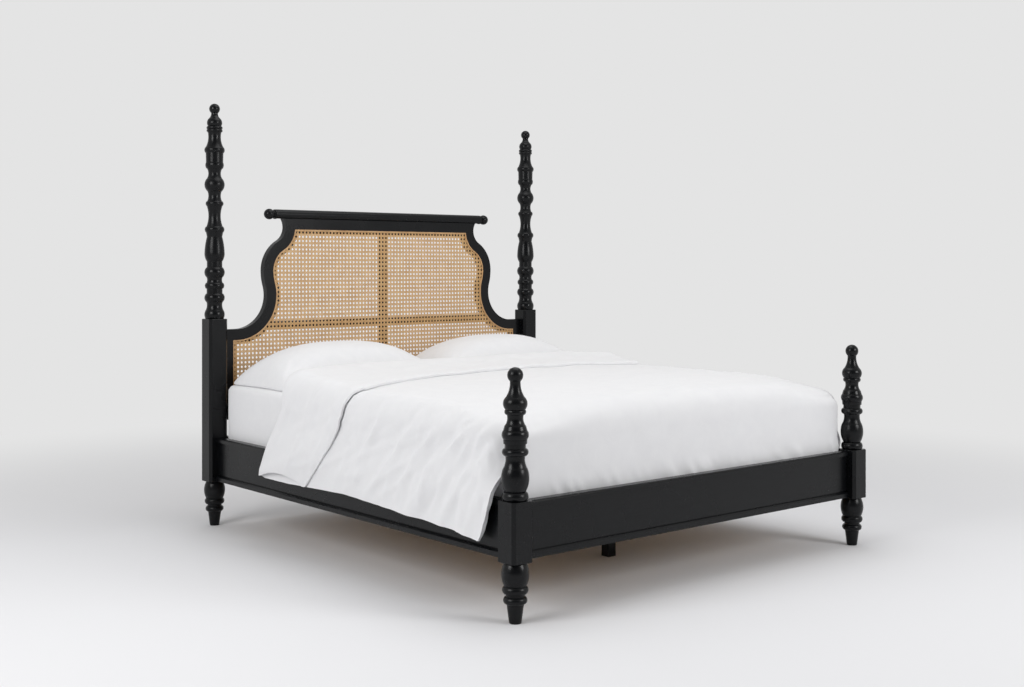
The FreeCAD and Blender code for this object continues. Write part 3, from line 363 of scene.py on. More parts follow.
def apply_modifier(piece: Object, kind: str, **settings: Any) -> None:
    """Add a modifier to a piece and apply it.

    Args:
        piece: object to change.
        kind: Blender's name for the modifier type.
        settings: the modifier's attributes.
    """
    pick(piece)
    modifier = piece.modifiers.new(kind.title(), kind)
    for key, value in settings.items():
        setattr(modifier, key, value)
    bpy.ops.object.modifier_apply(modifier=modifier.name)


def repeat(piece: Object, count: int, step: float) -> None:
    """Copy a piece along X, a step in millimetres apart, into one mesh."""
    apply_modifier(
        piece, "ARRAY", count=count, use_relative_offset=False, use_constant_offset=True,
        constant_offset_displace=(step * MM, 0, 0))


def join(name: str, pieces: list[Object]) -> Object:
    """Join objects into one.

    Args:
        name: name of the joined piece.
        pieces: objects to join, the first of which takes the others in.

    Returns:
        The joined piece.
    """
    pick(pieces[0])
    for piece in pieces[1:]:
        piece.select_set(True)
    bpy.ops.object.join()
    pieces[0].name = name
    return pieces[0]


def smooth_by_angle(piece: Object, angle: float) -> None:
    """Shade a piece smooth, with edges sharper than an angle in degrees left crisp."""
    pick(piece)
    bpy.ops.object.shade_smooth_by_angle(angle=math.radians(angle))


@dataclass
class WoodFrame:
    """Posts, rails, slats, headboard and fittings, which keep their CAD shapes."""

    across: tuple[str, ...] = (
        "foot_rail", "head_rail", "foot_cap", "foot_base", "headboard_top", "headboard_bottom", "cane_crossbar",
        "crest_")
    along: tuple[str, ...] = ("side_", "centre_beam")
    metal: tuple[str, ...] = ("beam_hangers", "post_screws", "rail_hook_plates")
    replaced: tuple[str, ...] = ("mattress", "duvet", "pillow_left", "pillow_right", "cane_panel")

    def dress(self) -> None:
        """Give every hard CAD node its finish, with the grain along the board."""
        reed = RattanCane("rattan_reed", pale="#cfa878", deep="#a07040")
        table = [(starts, finish.material()) for starts, finish in (
            (self.metal, ZincSteel()), ("cane_spline", reed), ("slat_ledger", PlanedPine(Axis.Y)),
            ("slat_", PlanedPine(Axis.X)), (self.across, BlackLacquer(Axis.X)),
            (self.along, BlackLacquer(Axis.Y)), ("", BlackLacquer(Axis.Z)))]
        for name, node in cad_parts.items():
            if name not in self.replaced:
                dress(node, next(material for starts, material in table if name.startswith(starts)))
        LOG.info("wood frame: %d hard nodes dressed", len(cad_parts) - len(self.replaced))


@dataclass
class CaneWeave:
    """Sheet of octagonal cane weave: paired uprights and levels with single diagonals across them."""

    pitch_x: float = 19.0
    pitch_z: float = 20.0
    hole_x: float = -9.5
    hole_z: float = 886.5
    strand: float = 4.2
    thick: float = 0.8
    pair: float = 5.2
    swing: float = 0.3
    layer: float = 0.5
    deeper: float = 6.0

    def build(self) -> Object:
        """Weave the sheet and trim it to the panel's outline.

        Returns:
            The woven piece, which stands for the CAD panel.
        """
        low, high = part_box("cane_panel")
        self.middle = (low + high) / 2
        self.width = (high.x - low.x) / MM
        self.height = (high.z - low.z) / MM
        outline = self.trimmer()
        families = [self.straight(Axis.Z), self.straight(Axis.X), self.slanted(1), self.slanted(-1)]
        for family in families:
            apply_modifier(family, "BOOLEAN", object=outline, operation="INTERSECT", solver="MANIFOLD")
        bpy.data.objects.remove(outline)
        weave = join("cane_weave", families)
        smooth_by_angle(weave, 50)
        dress(weave, RattanCane().material())
        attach(weave, "frame")
        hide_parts("cane_panel")
        return weave

    def trimmer(self) -> Object:
        """Copy the panel's outline as a thicker block that cuts the strands to length.

        Returns:
            The block, which is deleted once the strands are cut.
        """
        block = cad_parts["cane_panel"].copy()
        block.data = block.data.copy()
        block.parent = None
        bpy.context.collection.objects.link(block)
        pick(block)
        with editing("SELECT"):
            bpy.ops.mesh.remove_doubles(threshold=SAME)
            bpy.ops.mesh.select_mode(type="FACE")
            bpy.ops.mesh.select_all(action="DESELECT")
        for face in block.data.polygons:
            face.select = abs(face.normal.y) > 0.9
        with editing():
            bpy.ops.mesh.delete(type="FACE")
            bpy.ops.mesh.separate(type="LOOSE")
        # Only the outer wall is kept, because the strands make their own openings.
        walls = sorted(bpy.context.selected_objects, key=lambda wall: wall.dimensions.x)
        for wall in walls[:-1]:
            bpy.data.objects.remove(wall)
        block = walls[-1]
        pick(block)
        with editing("SELECT"):
            bpy.ops.mesh.fill_holes(sides=0)
            bpy.ops.mesh.select_all(action="SELECT")
            bpy.ops.mesh.normals_make_consistent(inside=False)
            bpy.ops.transform.resize(value=(1, self.deeper, 1), center_override=tuple(self.middle))
        return block

    def ribbon(self, length: float, cuts: int) -> Object:
        """Model one strand upright at the origin, flat at the back and rounded in front.

        Args:
            length: its length in millimetres.
            cuts: rings to divide it by, where it bends over and under.

        Returns:
            The strand.
        """
        bpy.ops.object.select_all(action="DESELECT")
        bpy.ops.mesh.primitive_cylinder_add(vertices=6, radius=0.5 * MM, depth=length * MM)
        strand = bpy.context.object
        strand.scale = (self.strand, self.thick * 2, 1.0)
        settle_in_place(strand)
        for vertex in strand.data.vertices:
            vertex.co.y = min(vertex.co.y, 0.0)
        with editing("SELECT"):
            bpy.ops.mesh.select_mode(type="EDGE")
            bpy.ops.mesh.dissolve_limited(angle_limit=0.01)
            bpy.ops.mesh.select_all(action="DESELECT")
        for edge in strand.data.edges:
            a, b = (strand.data.vertices[v].co for v in edge.vertices)
            edge.select = abs(a.z - b.z) > 0.5 * length * MM
        if cuts:
            with editing():
                bpy.ops.mesh.subdivide(number_cuts=cuts)
        return strand

    def straight(self, run: Axis) -> Object:
        """Lay the pairs that run upright or level, each pair over one crossing and under the next.

        Args:
            run: Axis.Z for uprights, Axis.X for levels.

        Returns:
            All pairs of that run.
        """
        upright = run is Axis.Z
        if upright:
            length, breadth, step_along, step_across = self.height, self.width, self.pitch_z, self.pitch_x
        else:
            length, breadth, step_along, step_across = self.width, self.height, self.pitch_x, self.pitch_z
        cells = math.ceil(length / step_along / 2) * 2 + 2
        pairs = math.ceil(breadth / step_across / 4) * 2 + 2
        phase = 1 if upright else -1
        strands = []
        for column in range(2):
            strand = self.ribbon(cells * step_along, cells - 1)
            for vertex in strand.data.vertices:
                step = round(vertex.co.z / MM / step_along + cells / 2)
                vertex.co.y += phase * (-1) ** (step + column) * self.swing * MM
                vertex.co.x += (column * step_across - self.pair / 2) * MM
            strands.append(strand)
        family = join(f"cane_{run.name.lower()}", strands)
        repeat(family, 2, self.pair)
        repeat(family, pairs, 2 * step_across)
        start = -pairs * step_across + step_across / 2
        centre_x, centre_z = self.near_hole()
        if upright:
            family.location = Vector((centre_x + start, self.middle.y / MM, centre_z + step_along / 2)) * MM
        else:
            family.rotation_euler = (0, math.radians(90), 0)
            family.location = Vector((centre_x + step_along / 2, self.middle.y / MM, centre_z - start)) * MM
        settle_in_place(family)
        return family

    def slanted(self, lean: int) -> Object:
        """Lay the diagonals of one lean, in front of the pairs or behind them.

        Args:
            lean: 1 leans right and lies in front, -1 leans left and lies behind.

        Returns:
            All diagonals of that lean.
        """
        reach = self.width + self.height
        diagonal = math.hypot(self.pitch_x, self.pitch_z)
        gap = self.pitch_x * self.pitch_z / diagonal
        count = math.ceil(reach / math.sqrt(2) / gap / 2) * 2 + 4
        family = self.ribbon(reach * 1.1, 0)
        family.name = f"cane_lean_{'right' if lean > 0 else 'left'}"
        repeat(family, count, gap)
        family.location.x = -(count - 1) / 2 * gap * MM
        settle_in_place(family)
        centre_x, centre_z = self.near_hole()
        family.rotation_euler = (0, math.atan2(lean * self.pitch_x, self.pitch_z), 0)
        depth = self.middle.y / MM - lean * self.layer
        family.location = Vector((centre_x, depth, centre_z)) * MM
        settle_in_place(family)
        return family

    def near_hole(self) -> tuple[float, float]:
        """Find the weave's hole that is nearest to the middle of the panel.

        Returns:
            Its x and z in millimetres.
        """
        across = round((self.middle.x / MM - self.hole_x) / self.pitch_x)
        up = round((self.middle.z / MM - self.hole_z) / self.pitch_z)
        return self.hole_x + across * self.pitch_x, self.hole_z + up * self.pitch_z


@dataclass
class CaneBars:
    """Upright and level bars behind the cane, each with its edges eased."""

    half: float = 21.0
    eased: float = 2.0

    def build(self) -> Object:
        """Model the three bars, the level ones butted against the upright.

        Returns:
            The bars as one piece, which stands for the CAD bars.
        """
        edge = self.half * MM
        bars = []
        for node, run, low_x, high_x in (
                ("cane_mullion", Axis.Z, -edge, edge), ("cane_crossbar_left", Axis.X, None, -edge),
                ("cane_crossbar_right", Axis.X, edge, None)):
            low, high = (corner.copy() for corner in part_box(node))
            low.x = low.x if low_x is None else low_x
            high.x = high.x if high_x is None else high_x
            bar = add_box(low, high)
            with editing("SELECT"):
                bpy.ops.mesh.bevel(offset=self.eased * MM, segments=3, profile=0.5)
            dress(bar, BlackLacquer(run).material())
            bars.append(bar)
        piece = join("cane_bars", bars)
        smooth_by_angle(piece, 40)
        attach(piece, "frame")
        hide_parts("cane_mullion", "cane_crossbar_left", "cane_crossbar_right")
        return piece


def ripple(x: float, y: float, z: float = 0.0, *, size: float, seed: float) -> float:
    """Give a smooth random height, about -1 to 1, at a place, for lumps of a size. The seed shifts them."""
    return noise.noise(Vector((x / size + seed, y / size - 2 * seed, z / size + 3 * seed)))


def crease(x: float, y: float, z: float = 0.0, *, size: float, seed: float, thin: float) -> float:
    """Give 1 on the lines where a ripple changes sign, falling to 0 beside them, sooner if thin is large."""
    return max(0.0, 1 - thin * abs(ripple(x, y, z, size=size, seed=seed))) ** 2


def ease(value: float, low: float, high: float) -> float:
    """Rise smoothly from 0 at low to 1 at high, or fall where high is the lower one."""
    share = min(1.0, max(0.0, (value - low) / (high - low)))
    return share * share * (3 - 2 * share)


@dataclass
class Mattress:
    """Mattress under a smooth fitted sheet."""

    corner: float = 26.0
    edge: float = 24.0
    lump: float = 3.0
    voxel: float = 14.0
    pull: float = 4.0
    pull_reach: float = 90.0

    def build(self) -> Object:
        """Model the mattress and its sheet.

        Returns:
            The padded piece, which stands for the CAD block.
        """
        low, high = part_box("mattress")
        piece = add_box(low, high)
        piece.name = "fitted_mattress"
        self.round_edges(piece, self.corner, 10, lambda a, b: abs(a.z - b.z) > 0.5 * (high.z - low.z))
        self.round_edges(piece, self.edge, 6, lambda a, b: any(
            max(abs(a.z - rim), abs(b.z - rim)) < SAME for rim in (low.z, high.z)))
        apply_modifier(piece, "REMESH", mode="VOXEL", voxel_size=self.voxel * MM)
        self.pad(piece, low, high)
        apply_modifier(piece, "SMOOTH", factor=0.5, iterations=6)
        smooth_by_angle(piece, 180)
        dress(piece, WhiteCotton("white_cotton_fitted_sheet", crease=45, crease_depth=0.0012).material())
        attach(piece, "mattress")
        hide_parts("mattress")
        return piece

    @staticmethod
    def round_edges(
        piece: Object, radius: float, segments: int, wanted: Callable[[Vector, Vector], bool]
    ) -> None:
        """Round those edges of a piece that pass a test.

        Args:
            piece: object to change.
            radius: of the rounding, in millimetres.
            segments: faces round the rounding.
            wanted: test that takes an edge's two ends.
        """
        pick(piece)
        mesh = piece.data
        for part in (*mesh.vertices, *mesh.polygons):
            part.select = False
        for edge in mesh.edges:
            edge.select = wanted(*(mesh.vertices[v].co for v in edge.vertices))
        with editing():
            bpy.ops.mesh.select_mode(type="EDGE")
            bpy.ops.mesh.bevel(offset=radius * MM, segments=segments, profile=0.5)

    def pad(self, piece: Object, low: Vector, high: Vector) -> None:
        """Press soft hollows into the sides and draw the sheet in small creases at the corners.

        Args:
            piece: the mattress.
            low: lowest corner of its block.
            high: highest corner.
        """
        places = [v.co.copy() for v in piece.data.vertices]
        normals = [v.normal.copy() for v in piece.data.vertices]
        for vertex, place, normal in zip(piece.data.vertices, places, normals):
            x, y, z = place / MM
            inset = self.lump * (0.55 - 0.45 * ripple(x, y, z, size=230, seed=1.3)) * (1 - max(0.0, normal.z))
            near = math.hypot(abs(x) - high.x / MM, abs(y) - max(-low.y, high.y) / MM)
            drawn = ripple(4 * x, 4 * y, 0.4 * z, size=150, seed=7.1) - 0.4
            pull = math.exp(-near / self.pull_reach) * self.pull * drawn
            vertex.co = place - normal * max(0.0, inset - pull) * MM


@dataclass
class Pillow:
    """Soft pillow in a plain white case, crowned and then swollen by a cloth simulation."""

    side: Side
    spacing: float = 13.0
    seam: float = 4.0
    waist: float = 14.0
    blunt: float = 15.0
    spread_x: float = 2.0
    spread_y: float = 8.0
    pressed: float = 0.15
    bearing: float = 850.0
    overhang: float = 40.0
    droop: float = 7.0
    pressure: float = 4.0
    frames: int = 20
    cap: float = 12.0
    headroom: float = 8.0
    lip: float = 3.0
    corner_fold: float = 11.0
    seam_fold: float = 5.0
    cloth: tuple[tuple[str, float], ...] = (
        ("quality", 6), ("mass", 0.25), ("tension_stiffness", 18), ("compression_stiffness", 10),
        ("shear_stiffness", 6), ("bending_stiffness", 0.3), ("use_pressure", True))

    def build(self) -> Object:
        """Shape the pillow, swell it and press it flat where it rests.

        Returns:
            The padded piece, which stands for the CAD pillow.
        """
        node = f"pillow_{self.side.name.lower()}"
        low, high = (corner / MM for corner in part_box(node))
        size = high - low
        bpy.ops.object.select_all(action="DESELECT")
        bpy.ops.mesh.primitive_grid_add(
            x_subdivisions=round(size.x / self.spacing), y_subdivisions=round(size.y / self.spacing), size=2)
        piece = bpy.context.object
        piece.name = f"soft_{node}"
        # Solidify numbers the two layers the same way in each run, so the simulation repeats.
        apply_modifier(piece, "SOLIDIFY", thickness=1, offset=1, use_rim=True)
        flat = [v.co.copy() for v in piece.data.vertices]
        self.crown(piece, low, high)
        self.swell(piece)
        for vertex, (u, v, layer) in zip(piece.data.vertices, flat):
            above = max(0.0, vertex.co.z / MM - low.z)
            if layer > 0.5:
                above += self.creases(u, v)
            else:
                above *= self.pressed
            over = max(0.0, abs(vertex.co.x) / MM - self.bearing)
            vertex.co.z = (low.z + above - self.droop * (over / self.overhang) ** 2) * MM
        apply_modifier(piece, "SUBSURF", levels=1, render_levels=1)
        smooth_by_angle(piece, 180)
        dress(piece, WhiteCotton("white_cotton_pillowcase", crease=38, crease_depth=0.0012).material())
        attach(piece, node)
        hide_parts(node)
        return piece

    def crown(self, piece: Object, low: Vector, high: Vector) -> None:
        """Shape a two-layer grid into a pillow: sides drawn in, flat below and full above.

        Args:
            piece: grid of two layers, from -1 to 1 each way.
            low: lowest corner of its room in millimetres.
            high: highest corner.
        """
        centre, half = (low + high) / 2, (high - low) / 2
        rise = high.z - low.z - self.seam - self.headroom
        for vertex in piece.data.vertices:
            u, v, layer = vertex.co
            blunt = self.blunt * (u * v) ** 6
            x = centre.x + u * (half.x + self.spread_x - self.waist * (1 - v * v) - blunt)
            y = centre.y + v * (half.y + self.spread_y - self.waist * (1 - u * u) - blunt)
            full_u = max(0.0, 1 - abs(u) ** 2.7)
            full_v = max(0.0, 1 - abs(v) ** 2.3)
            if layer > 0.5:
                z = low.z + self.seam + self.lip + rise * full_u ** 0.62 * full_v ** 0.6
                z += 4 * (0.6 + ripple(x, y, size=55, seed=4.4)) * math.exp(-full_u * full_v / 0.06)
                z += 2.5 * ripple(x, y, size=170, seed=2.7 + self.side.value)
            else:
                rest = (1 - abs(u) ** 7) * (1 - abs(v) ** 7)
                z = low.z + (self.seam - self.lip) * (1 - rest)
            vertex.co = Vector((x, y, z)) * MM

    def creases(self, u: float, v: float) -> float:
        """Give the small folds that run in from the corners and along the seam, in millimetres.

        Args:
            u: place along the pillow, from -1 to 1.
            v: place across it.

        Returns:
            Height to add.
        """
        full = (1 - u * u) * (1 - v * v)
        away = math.hypot((1 - abs(u)) * 1.8, 1 - abs(v))
        turn = math.degrees(math.atan2(1 - abs(v), (1 - abs(u)) * 1.8))
        seed = self.side.value + 2 * math.copysign(1, u) + 4 * math.copysign(1, v)
        fan = ripple(turn, 22 * away, size=13, seed=seed) * math.exp(-((away - 0.42) / 0.26) ** 2)
        seam = ripple(90 * u, 60 * v, size=7, seed=seed + 9) * math.exp(-full / 0.25) * min(1.0, full * 8)
        return self.corner_fold * fan + self.seam_fold * seam

    def swell(self, piece: Object) -> None:
        """Run the cloth with pressure inside it, and keep what moves within the cap.

        Args:
            piece: the pillow, crowned already.
        """
        pick(piece)
        before = [v.co.copy() for v in piece.data.vertices]
        cloth = piece.modifiers.new("Cloth", "CLOTH")
        settings = cloth.settings
        for key, value in self.cloth:
            setattr(settings, key, value)
        settings.uniform_pressure_force = self.pressure
        settings.effector_weights.gravity = 0
        scene = bpy.context.scene
        for step in range(1, self.frames + 1):
            scene.frame_set(step)
        bpy.ops.object.modifier_apply(modifier=cloth.name)
        scene.frame_set(1)
        most = self.cap * MM
        for vertex, start in zip(piece.data.vertices, before):
            move = vertex.co - start
            if move.length > most:
                vertex.co = start + move * (most / move.length)


@dataclass(frozen=True)
class Strip:
    """One line of the duvet that runs from foot to head."""

    sign: int
    drop: float
    turn: float
    x: float

    @property
    def out(self) -> float:
        """How much the sheet faces sideways here."""
        return math.cos(math.radians(self.turn))

    @property
    def up(self) -> float:
        """How much the sheet faces up here."""
        return math.sin(math.radians(self.turn))

    @property
    def hung(self) -> float:
        """0 where the side starts to hang, 1 at the hem."""
        return 1.0 - self.drop


@dataclass
class Duvet:
    """Light duvet in a white cover, tucked at the foot, hanging at the sides and turned back at the head."""

    side: float = 954.0
    shoulder: float = 85.0
    top: float = 690.0
    crown: float = 9.0
    foot: float = -1022.0
    foot_round: float = 110.0
    tuck: float = 388.0
    split: float = -990.0
    fold: float = 456.0
    fold_shoulder: float = 365.0
    fold_hem: float = 547.0
    fold_step: float = 10.0
    fold_reach: tuple[float, float] = (-40.0, 260.0)
    fold_radius: float = 4.0
    fold_puff: float = 8.0
    corner_sink: float = 42.0
    corner_reach: float = 260.0
    post_from: float = -890.0
    post_run: float = 100.0
    post_room: float = 55.0
    post_level: tuple[float, float] = (405.0, 480.0)
    fan_y: float = -1000.0
    fan_across: float = -60.0
    fan_inner: float = -420.0
    fan_pitch: float = 14.5
    fan_height: float = 7.8
    crease_height: float = 9.0
    drawn_height: float = 6.0
    roll_height: float = 7.0
    rumple_heights: tuple[float, float, float] = (5.0, 3.0, 2.4)
    waist: float = 14.0
    waist_level: tuple[float, float] = (400.0, 540.0)
    hem_flare: float = 5.0
    loft: float = 46.0
    hang_thick: float = 13.0
    hem_thick: float = 6.0
    tuck_thick: float = 12.0
    strips_side: int = 30
    strips_shoulder: int = 10
    strips_top: int = 138
    rows_main: int = 124
    rows_foot: int = 26
    rows_flap: int = 48
    fold_angles: tuple[float, ...] = (45.0, 90.0, 135.0)
    hem: Line = (
        (-905, 248), (-800, 262), (-628, 273), (-446, 279), (-82, 296), (150, 288), (328, 281), (523, 282),
        (587, 300))
    drawn_folds: tuple[Line, ...] = (
        ((-560, 85), (-400, 260), (-240, 430)), ((-850, 100), (-611, 283), (-584, 415)),
        ((-990, 130), (-880, 230), (-775, 320)), ((-700, 95), (-520, 270), (-425, 420)),
        ((-330, 110), (-215, 250), (-150, 345)), ((-935, 210), (-820, 350), (-790, 450)))
    fold_height: float = 11.0
    fold_width: float = 17.0
    foot_slant: float = 85.0
    foot_pucker: float = 11.0
    pucker_level: tuple[float, float] = (470.0, 400.0)
    flap_slant_left: float = 250.0
    flap_slant_right: float = 130.0
    flap_gape: float = 12.0
    flap_rise: float = 38.0
    flap_thick: float = 11.0
    flap_full: float = 5.0
    flap_roll: float = 10.0
    flap_top: Line = (
        (-869, -95), (-750, -5), (-470, 105), (-50, 190), (490, 222), (869, 165))

    def build(self) -> Object:
        """Lay the duvet over the bed.

        Returns:
            The padded piece, which stands for the CAD duvet.
        """
        self.strips = self.list_strips()
        points, thick, faces = self.lay()
        mesh = bpy.data.meshes.new("folded_duvet")
        mesh.from_pydata([tuple(MM * c for c in p) for p in points], [], faces)
        mesh.update()
        piece = bpy.data.objects.new("folded_duvet", mesh)
        bpy.context.collection.objects.link(piece)
        group = piece.vertex_groups.new(name="loft")
        most = max(thick)
        for number, value in enumerate(thick):
            group.add([number], value / most, "REPLACE")
        apply_modifier(piece, "SMOOTH", factor=0.5, iterations=1)
        apply_modifier(piece, "SOLIDIFY", thickness=most * MM, offset=-1, vertex_group="loft", use_rim=True)
        smooth_by_angle(piece, 60)
        dress(piece, WhiteCotton("white_cotton_duvet_cover").material())
        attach(piece, "duvet")
        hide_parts("duvet")
        return piece

    @property
    def half(self) -> float:
        """Half the width of the level top."""
        return self.side - self.shoulder

    def list_strips(self) -> list[Strip]:
        """List the strips from the left hem to the right hem.

        Returns:
            The strips, those on top between the others.
        """
        half = self.half
        hung = [(share / self.strips_side, 0.0) for share in range(self.strips_side)]
        bent = [(1.0, LEVEL * k / self.strips_shoulder) for k in range(self.strips_shoulder)]
        left = [Strip(-1, drop, turn, -half) for drop, turn in hung + bent]
        places = [float(x) for x in np.linspace(-half, half, self.strips_top + 1)]
        flat = [Strip(1 if x > 0 else -1, 1.0, LEVEL, x) for x in places]
        right = [Strip(1, drop, turn, half) for drop, turn in reversed(hung + bent)]
        return left + flat + right

    def fold_at(self, strip: Strip) -> float:
        """Give where along the bed a strip folds back.

        Args:
            strip: line of the duvet.

        Returns:
            The place in millimetres.
        """
        if strip.drop < 1.0:
            return self.fold_shoulder + (self.fold_hem - self.fold_shoulder) * strip.hung
        edge = self.fold_shoulder + self.fold_step * strip.up
        inner = ease(self.half - abs(strip.x), *self.fold_reach) - ease(0, *self.fold_reach)
        return edge + (self.fold - edge) * inner

    def saddle(self, strip: Strip, y: float, lift: float) -> tuple[float, float, float]:
        """Place a point of the sheet over the top or down a side.

        Args:
            strip: line of the duvet.
            y: place along the bed, in millimetres.
            lift: height above the lower layer.

        Returns:
            The point in millimetres.
        """
        past = max(0.0, self.foot + self.foot_round - y)
        sink = self.foot_round - math.sqrt(max(0.0, self.foot_round ** 2 - past ** 2))
        sink += self.corner_drop(strip.x, y)
        start = self.top - self.shoulder
        if strip.drop < 1.0:
            hem_y, hem_z = zip(*self.hem)
            low = float(np.interp(y, hem_y, hem_z))
            z = low + (start - low) * strip.drop
            below = start - z
            x = self.side + self.hem_flare * strip.hung ** 2 - self.waist * ease(z, *self.waist_level)
            z -= 0.5 * sink * strip.drop ** 3
            across = self.shoulder * math.pi / 2 + below
        else:
            x = abs(strip.x) + (self.shoulder - self.waist) * strip.out
            z = start + self.shoulder * strip.up - sink * (0.5 + 0.5 * strip.up)
            across = self.shoulder * math.radians(LEVEL - strip.turn)
            if strip.turn == LEVEL:
                z += self.crown * (1 - (strip.x / self.half) ** 2)
                across = abs(strip.x) - self.half
        x_flat = strip.sign * x
        raise_by = lift + self.wrinkle(strip.sign, y, across) + self.rumple(x_flat, y) * strip.up
        corner = min(0.98, max(0.0, (self.post_from - y) / self.post_run))
        x -= self.post_room * (1 - math.sqrt(1 - corner ** 2)) * ease(z, *self.post_level) * strip.out
        return strip.sign * (x + raise_by * strip.out), y, z + raise_by * strip.up

    def corner_drop(self, x: float, y: float) -> float:
        """Give how far the padding sinks towards the corners of the foot end, in millimetres."""
        away = math.hypot(self.half - abs(x), y - self.split)
        return self.corner_sink * math.exp(-(away / self.corner_reach) ** 2)

    def long_folds(self, y: float, across: float) -> float:
        """Give the height of the few long folds that are drawn from the foot corner down the side.

        Args:
            y: place along the bed.
            across: distance from the edge of the top, down the side.

        Returns:
            Millimetres outwards, less than nothing in the hollow beside a fold.
        """
        height = 0.0
        for fold in self.drawn_folds:
            near, side, place = math.inf, 0.0, 0.0
            for number, ((y0, a0), (y1, a1)) in enumerate(zip(fold, fold[1:])):
                run = math.hypot(y1 - y0, a1 - a0)
                along = ((y - y0) * (y1 - y0) + (across - a0) * (a1 - a0)) / run
                held = min(run, max(0.0, along))
                gap_y = y - y0 - held * (y1 - y0) / run
                gap_a = across - a0 - held * (a1 - a0) / run
                gap = math.hypot(gap_y, gap_a)
                if gap < near:
                    near = gap
                    side = math.copysign(gap, gap_y * (a1 - a0) - gap_a * (y1 - y0))
                    place = (number + held / run) / (len(fold) - 1)
            if near < 5 * self.fold_width:
                ridge = math.exp(-(side / self.fold_width) ** 2)
                hollow = math.exp(-((side - 1.9 * self.fold_width) / (1.3 * self.fold_width)) ** 2)
                tapered = self.fold_height * math.sin(math.pi * (0.06 + 0.88 * place))
                height += tapered * (ridge - 0.6 * hollow)
        return height

    def wrinkle(self, sign: int, y: float, across: float) -> float:
        """Give the folds that fan out from the foot corner over the edge and down the side.

        Args:
            sign: -1 for the left side, 1 for the right.
            y: place along the bed.
            across: distance from the edge of the top, down the side.

        Returns:
            Millimetres outwards.
        """
        if across < self.fan_inner:
            return 0.0
        out_y, out_across = y - self.fan_y, across - self.fan_across
        turn = math.degrees(math.atan2(out_y, out_across))
        away = math.hypot(out_y, out_across)
        low = ease(across, -60, 190)
        wander = ripple(away, 9 * turn, size=420, seed=0.7 + sign)
        wave = 0.5 + 0.5 * math.cos(math.tau * (turn / self.fan_pitch + 0.55 * wander + 0.2 * sign))
        fan = 1 - 0.9 * ease(turn, 40, 72)
        folds = self.fan_height * wave ** 1.4 * low * ease(away, 120, 430) * fan
        sharp = crease(22 * turn, 0.28 * away, size=100, seed=3.3 + sign, thin=2.6)
        small = self.crease_height * sharp * ease(away, 60, 260) * (1 - 0.8 * ease(turn, 58, 100))
        slant = y - 0.5 * across
        drawn = crease(slant, 0.16 * across, size=74, seed=8.1 + sign, thin=2.4)
        rolls = ripple(slant, 0.22 * across, size=190, seed=5.4 + sign)
        soft = self.roll_height * (0.5 + 0.5 * rolls)
        side_only = ease(across, -110, 90) if sign < 0 else ease(across, 30, 190)
        calm = 1 - 0.7 * ease(across, 350, 455)
        creased = (small + self.drawn_height * drawn) * calm + soft * low
        return folds + self.long_folds(y, across) + creased * side_only

    def rumple(self, x: float, y: float) -> float:
        """Give the soft unevenness of the top at a place.

        Args:
            x: place across the bed.
            y: place along the bed.

        Returns:
            Millimetres upwards.
        """
        shapes = (
            ripple(x, 0.8 * y, size=340, seed=3.1),
            ripple(0.25 * (x - 0.4 * y), y + 0.35 * x, size=95, seed=5.9),
            crease(0.22 * (x + 0.5 * y), y - 0.3 * x, size=80, seed=7.7, thin=2.8))
        return sum(height * shape for height, shape in zip(self.rumple_heights, shapes))

    def lay(self) -> tuple[list, list, list]:
        """Work out the sheet's points, its thickness at each and its faces.

        Returns:
            Points in millimetres, thickness in millimetres, and faces.
        """
        rows: list[list[tuple | None]] = []
        for share in (number / self.rows_foot for number in range(self.rows_foot, 0, -1)):
            rows.append([self.foot_point(s, share) if s.turn == LEVEL else None for s in self.strips])
        for place, shares in (
                (self.main_point, [number / self.rows_main for number in range(self.rows_main + 1)]),
                (self.fold_point, [math.radians(angle) for angle in self.fold_angles]),
                (self.flap_point, [number / self.rows_flap for number in range(self.rows_flap + 1)])):
            rows += [[place(strip, share) for strip in self.strips] for share in shares]
        numbers: dict[tuple[int, int], int] = {}
        points, thick, faces = [], [], []
        for i, row in enumerate(rows):
            for k, cell in enumerate(row):
                if cell is not None:
                    numbers[i, k] = len(points)
                    points.append(cell[0])
                    thick.append(cell[1])
        for i, k in numbers:
            corners = [numbers.get(c) for c in ((i, k), (i, k + 1), (i + 1, k + 1), (i + 1, k))]
            if None not in corners:
                faces.append(corners)
        return points, thick, faces

    def foot_point(self, strip: Strip, share: float) -> tuple:
        """Place a point of the tucked foot end.

        Args:
            strip: line of the duvet.
            share: 0 at the end of the top, 1 at the tucked edge.

        Returns:
            The point and the thickness there.
        """
        first = math.asin((self.foot + self.foot_round - self.split) / self.foot_round)
        bend = (math.pi / 2 - first) * self.foot_round
        straight = self.top - self.foot_round - self.tuck
        run = share * (bend + straight)
        x = strip.x
        bulge = self.crown * (1 - (x / self.half) ** 2)
        if run < bend:
            angle = first + run / self.foot_round
            y = self.foot + self.foot_round * (1 - math.sin(angle))
            level = math.cos(angle) / math.cos(first)
            edge = abs(x) - self.half
            z = self.top - self.foot_round * (1 - math.cos(angle))
            z += level * (bulge + self.rumple(x, y) + self.wrinkle(strip.sign, self.split, edge))
            z -= level * self.corner_drop(x, self.split)
        else:
            y = self.foot
            z = self.top - self.foot_round - (run - bend)
        begun = ease(share, 0.0, 0.35)
        uneven = 0.35 + 0.65 * ease(ripple(x, 0, size=240, seed=1.9), -0.2, 0.25)
        pucker = ease(z, *self.pucker_level) * uneven
        fold = crease(x + 0.5 * z, 0, 0.3 * z, size=58, seed=8.8, thin=2.4)
        upright = ripple(x + 0.3 * z, 0, 0.2 * z, size=130, seed=6.6)
        y += (6 + 4.5 * upright) * begun - self.foot_pucker * pucker * fold
        thick = max(self.tuck_thick, self.loft * (1 - share) ** 1.5)
        return (x * (1 + 0.006 * begun), max(y, self.foot - 6), z), thick

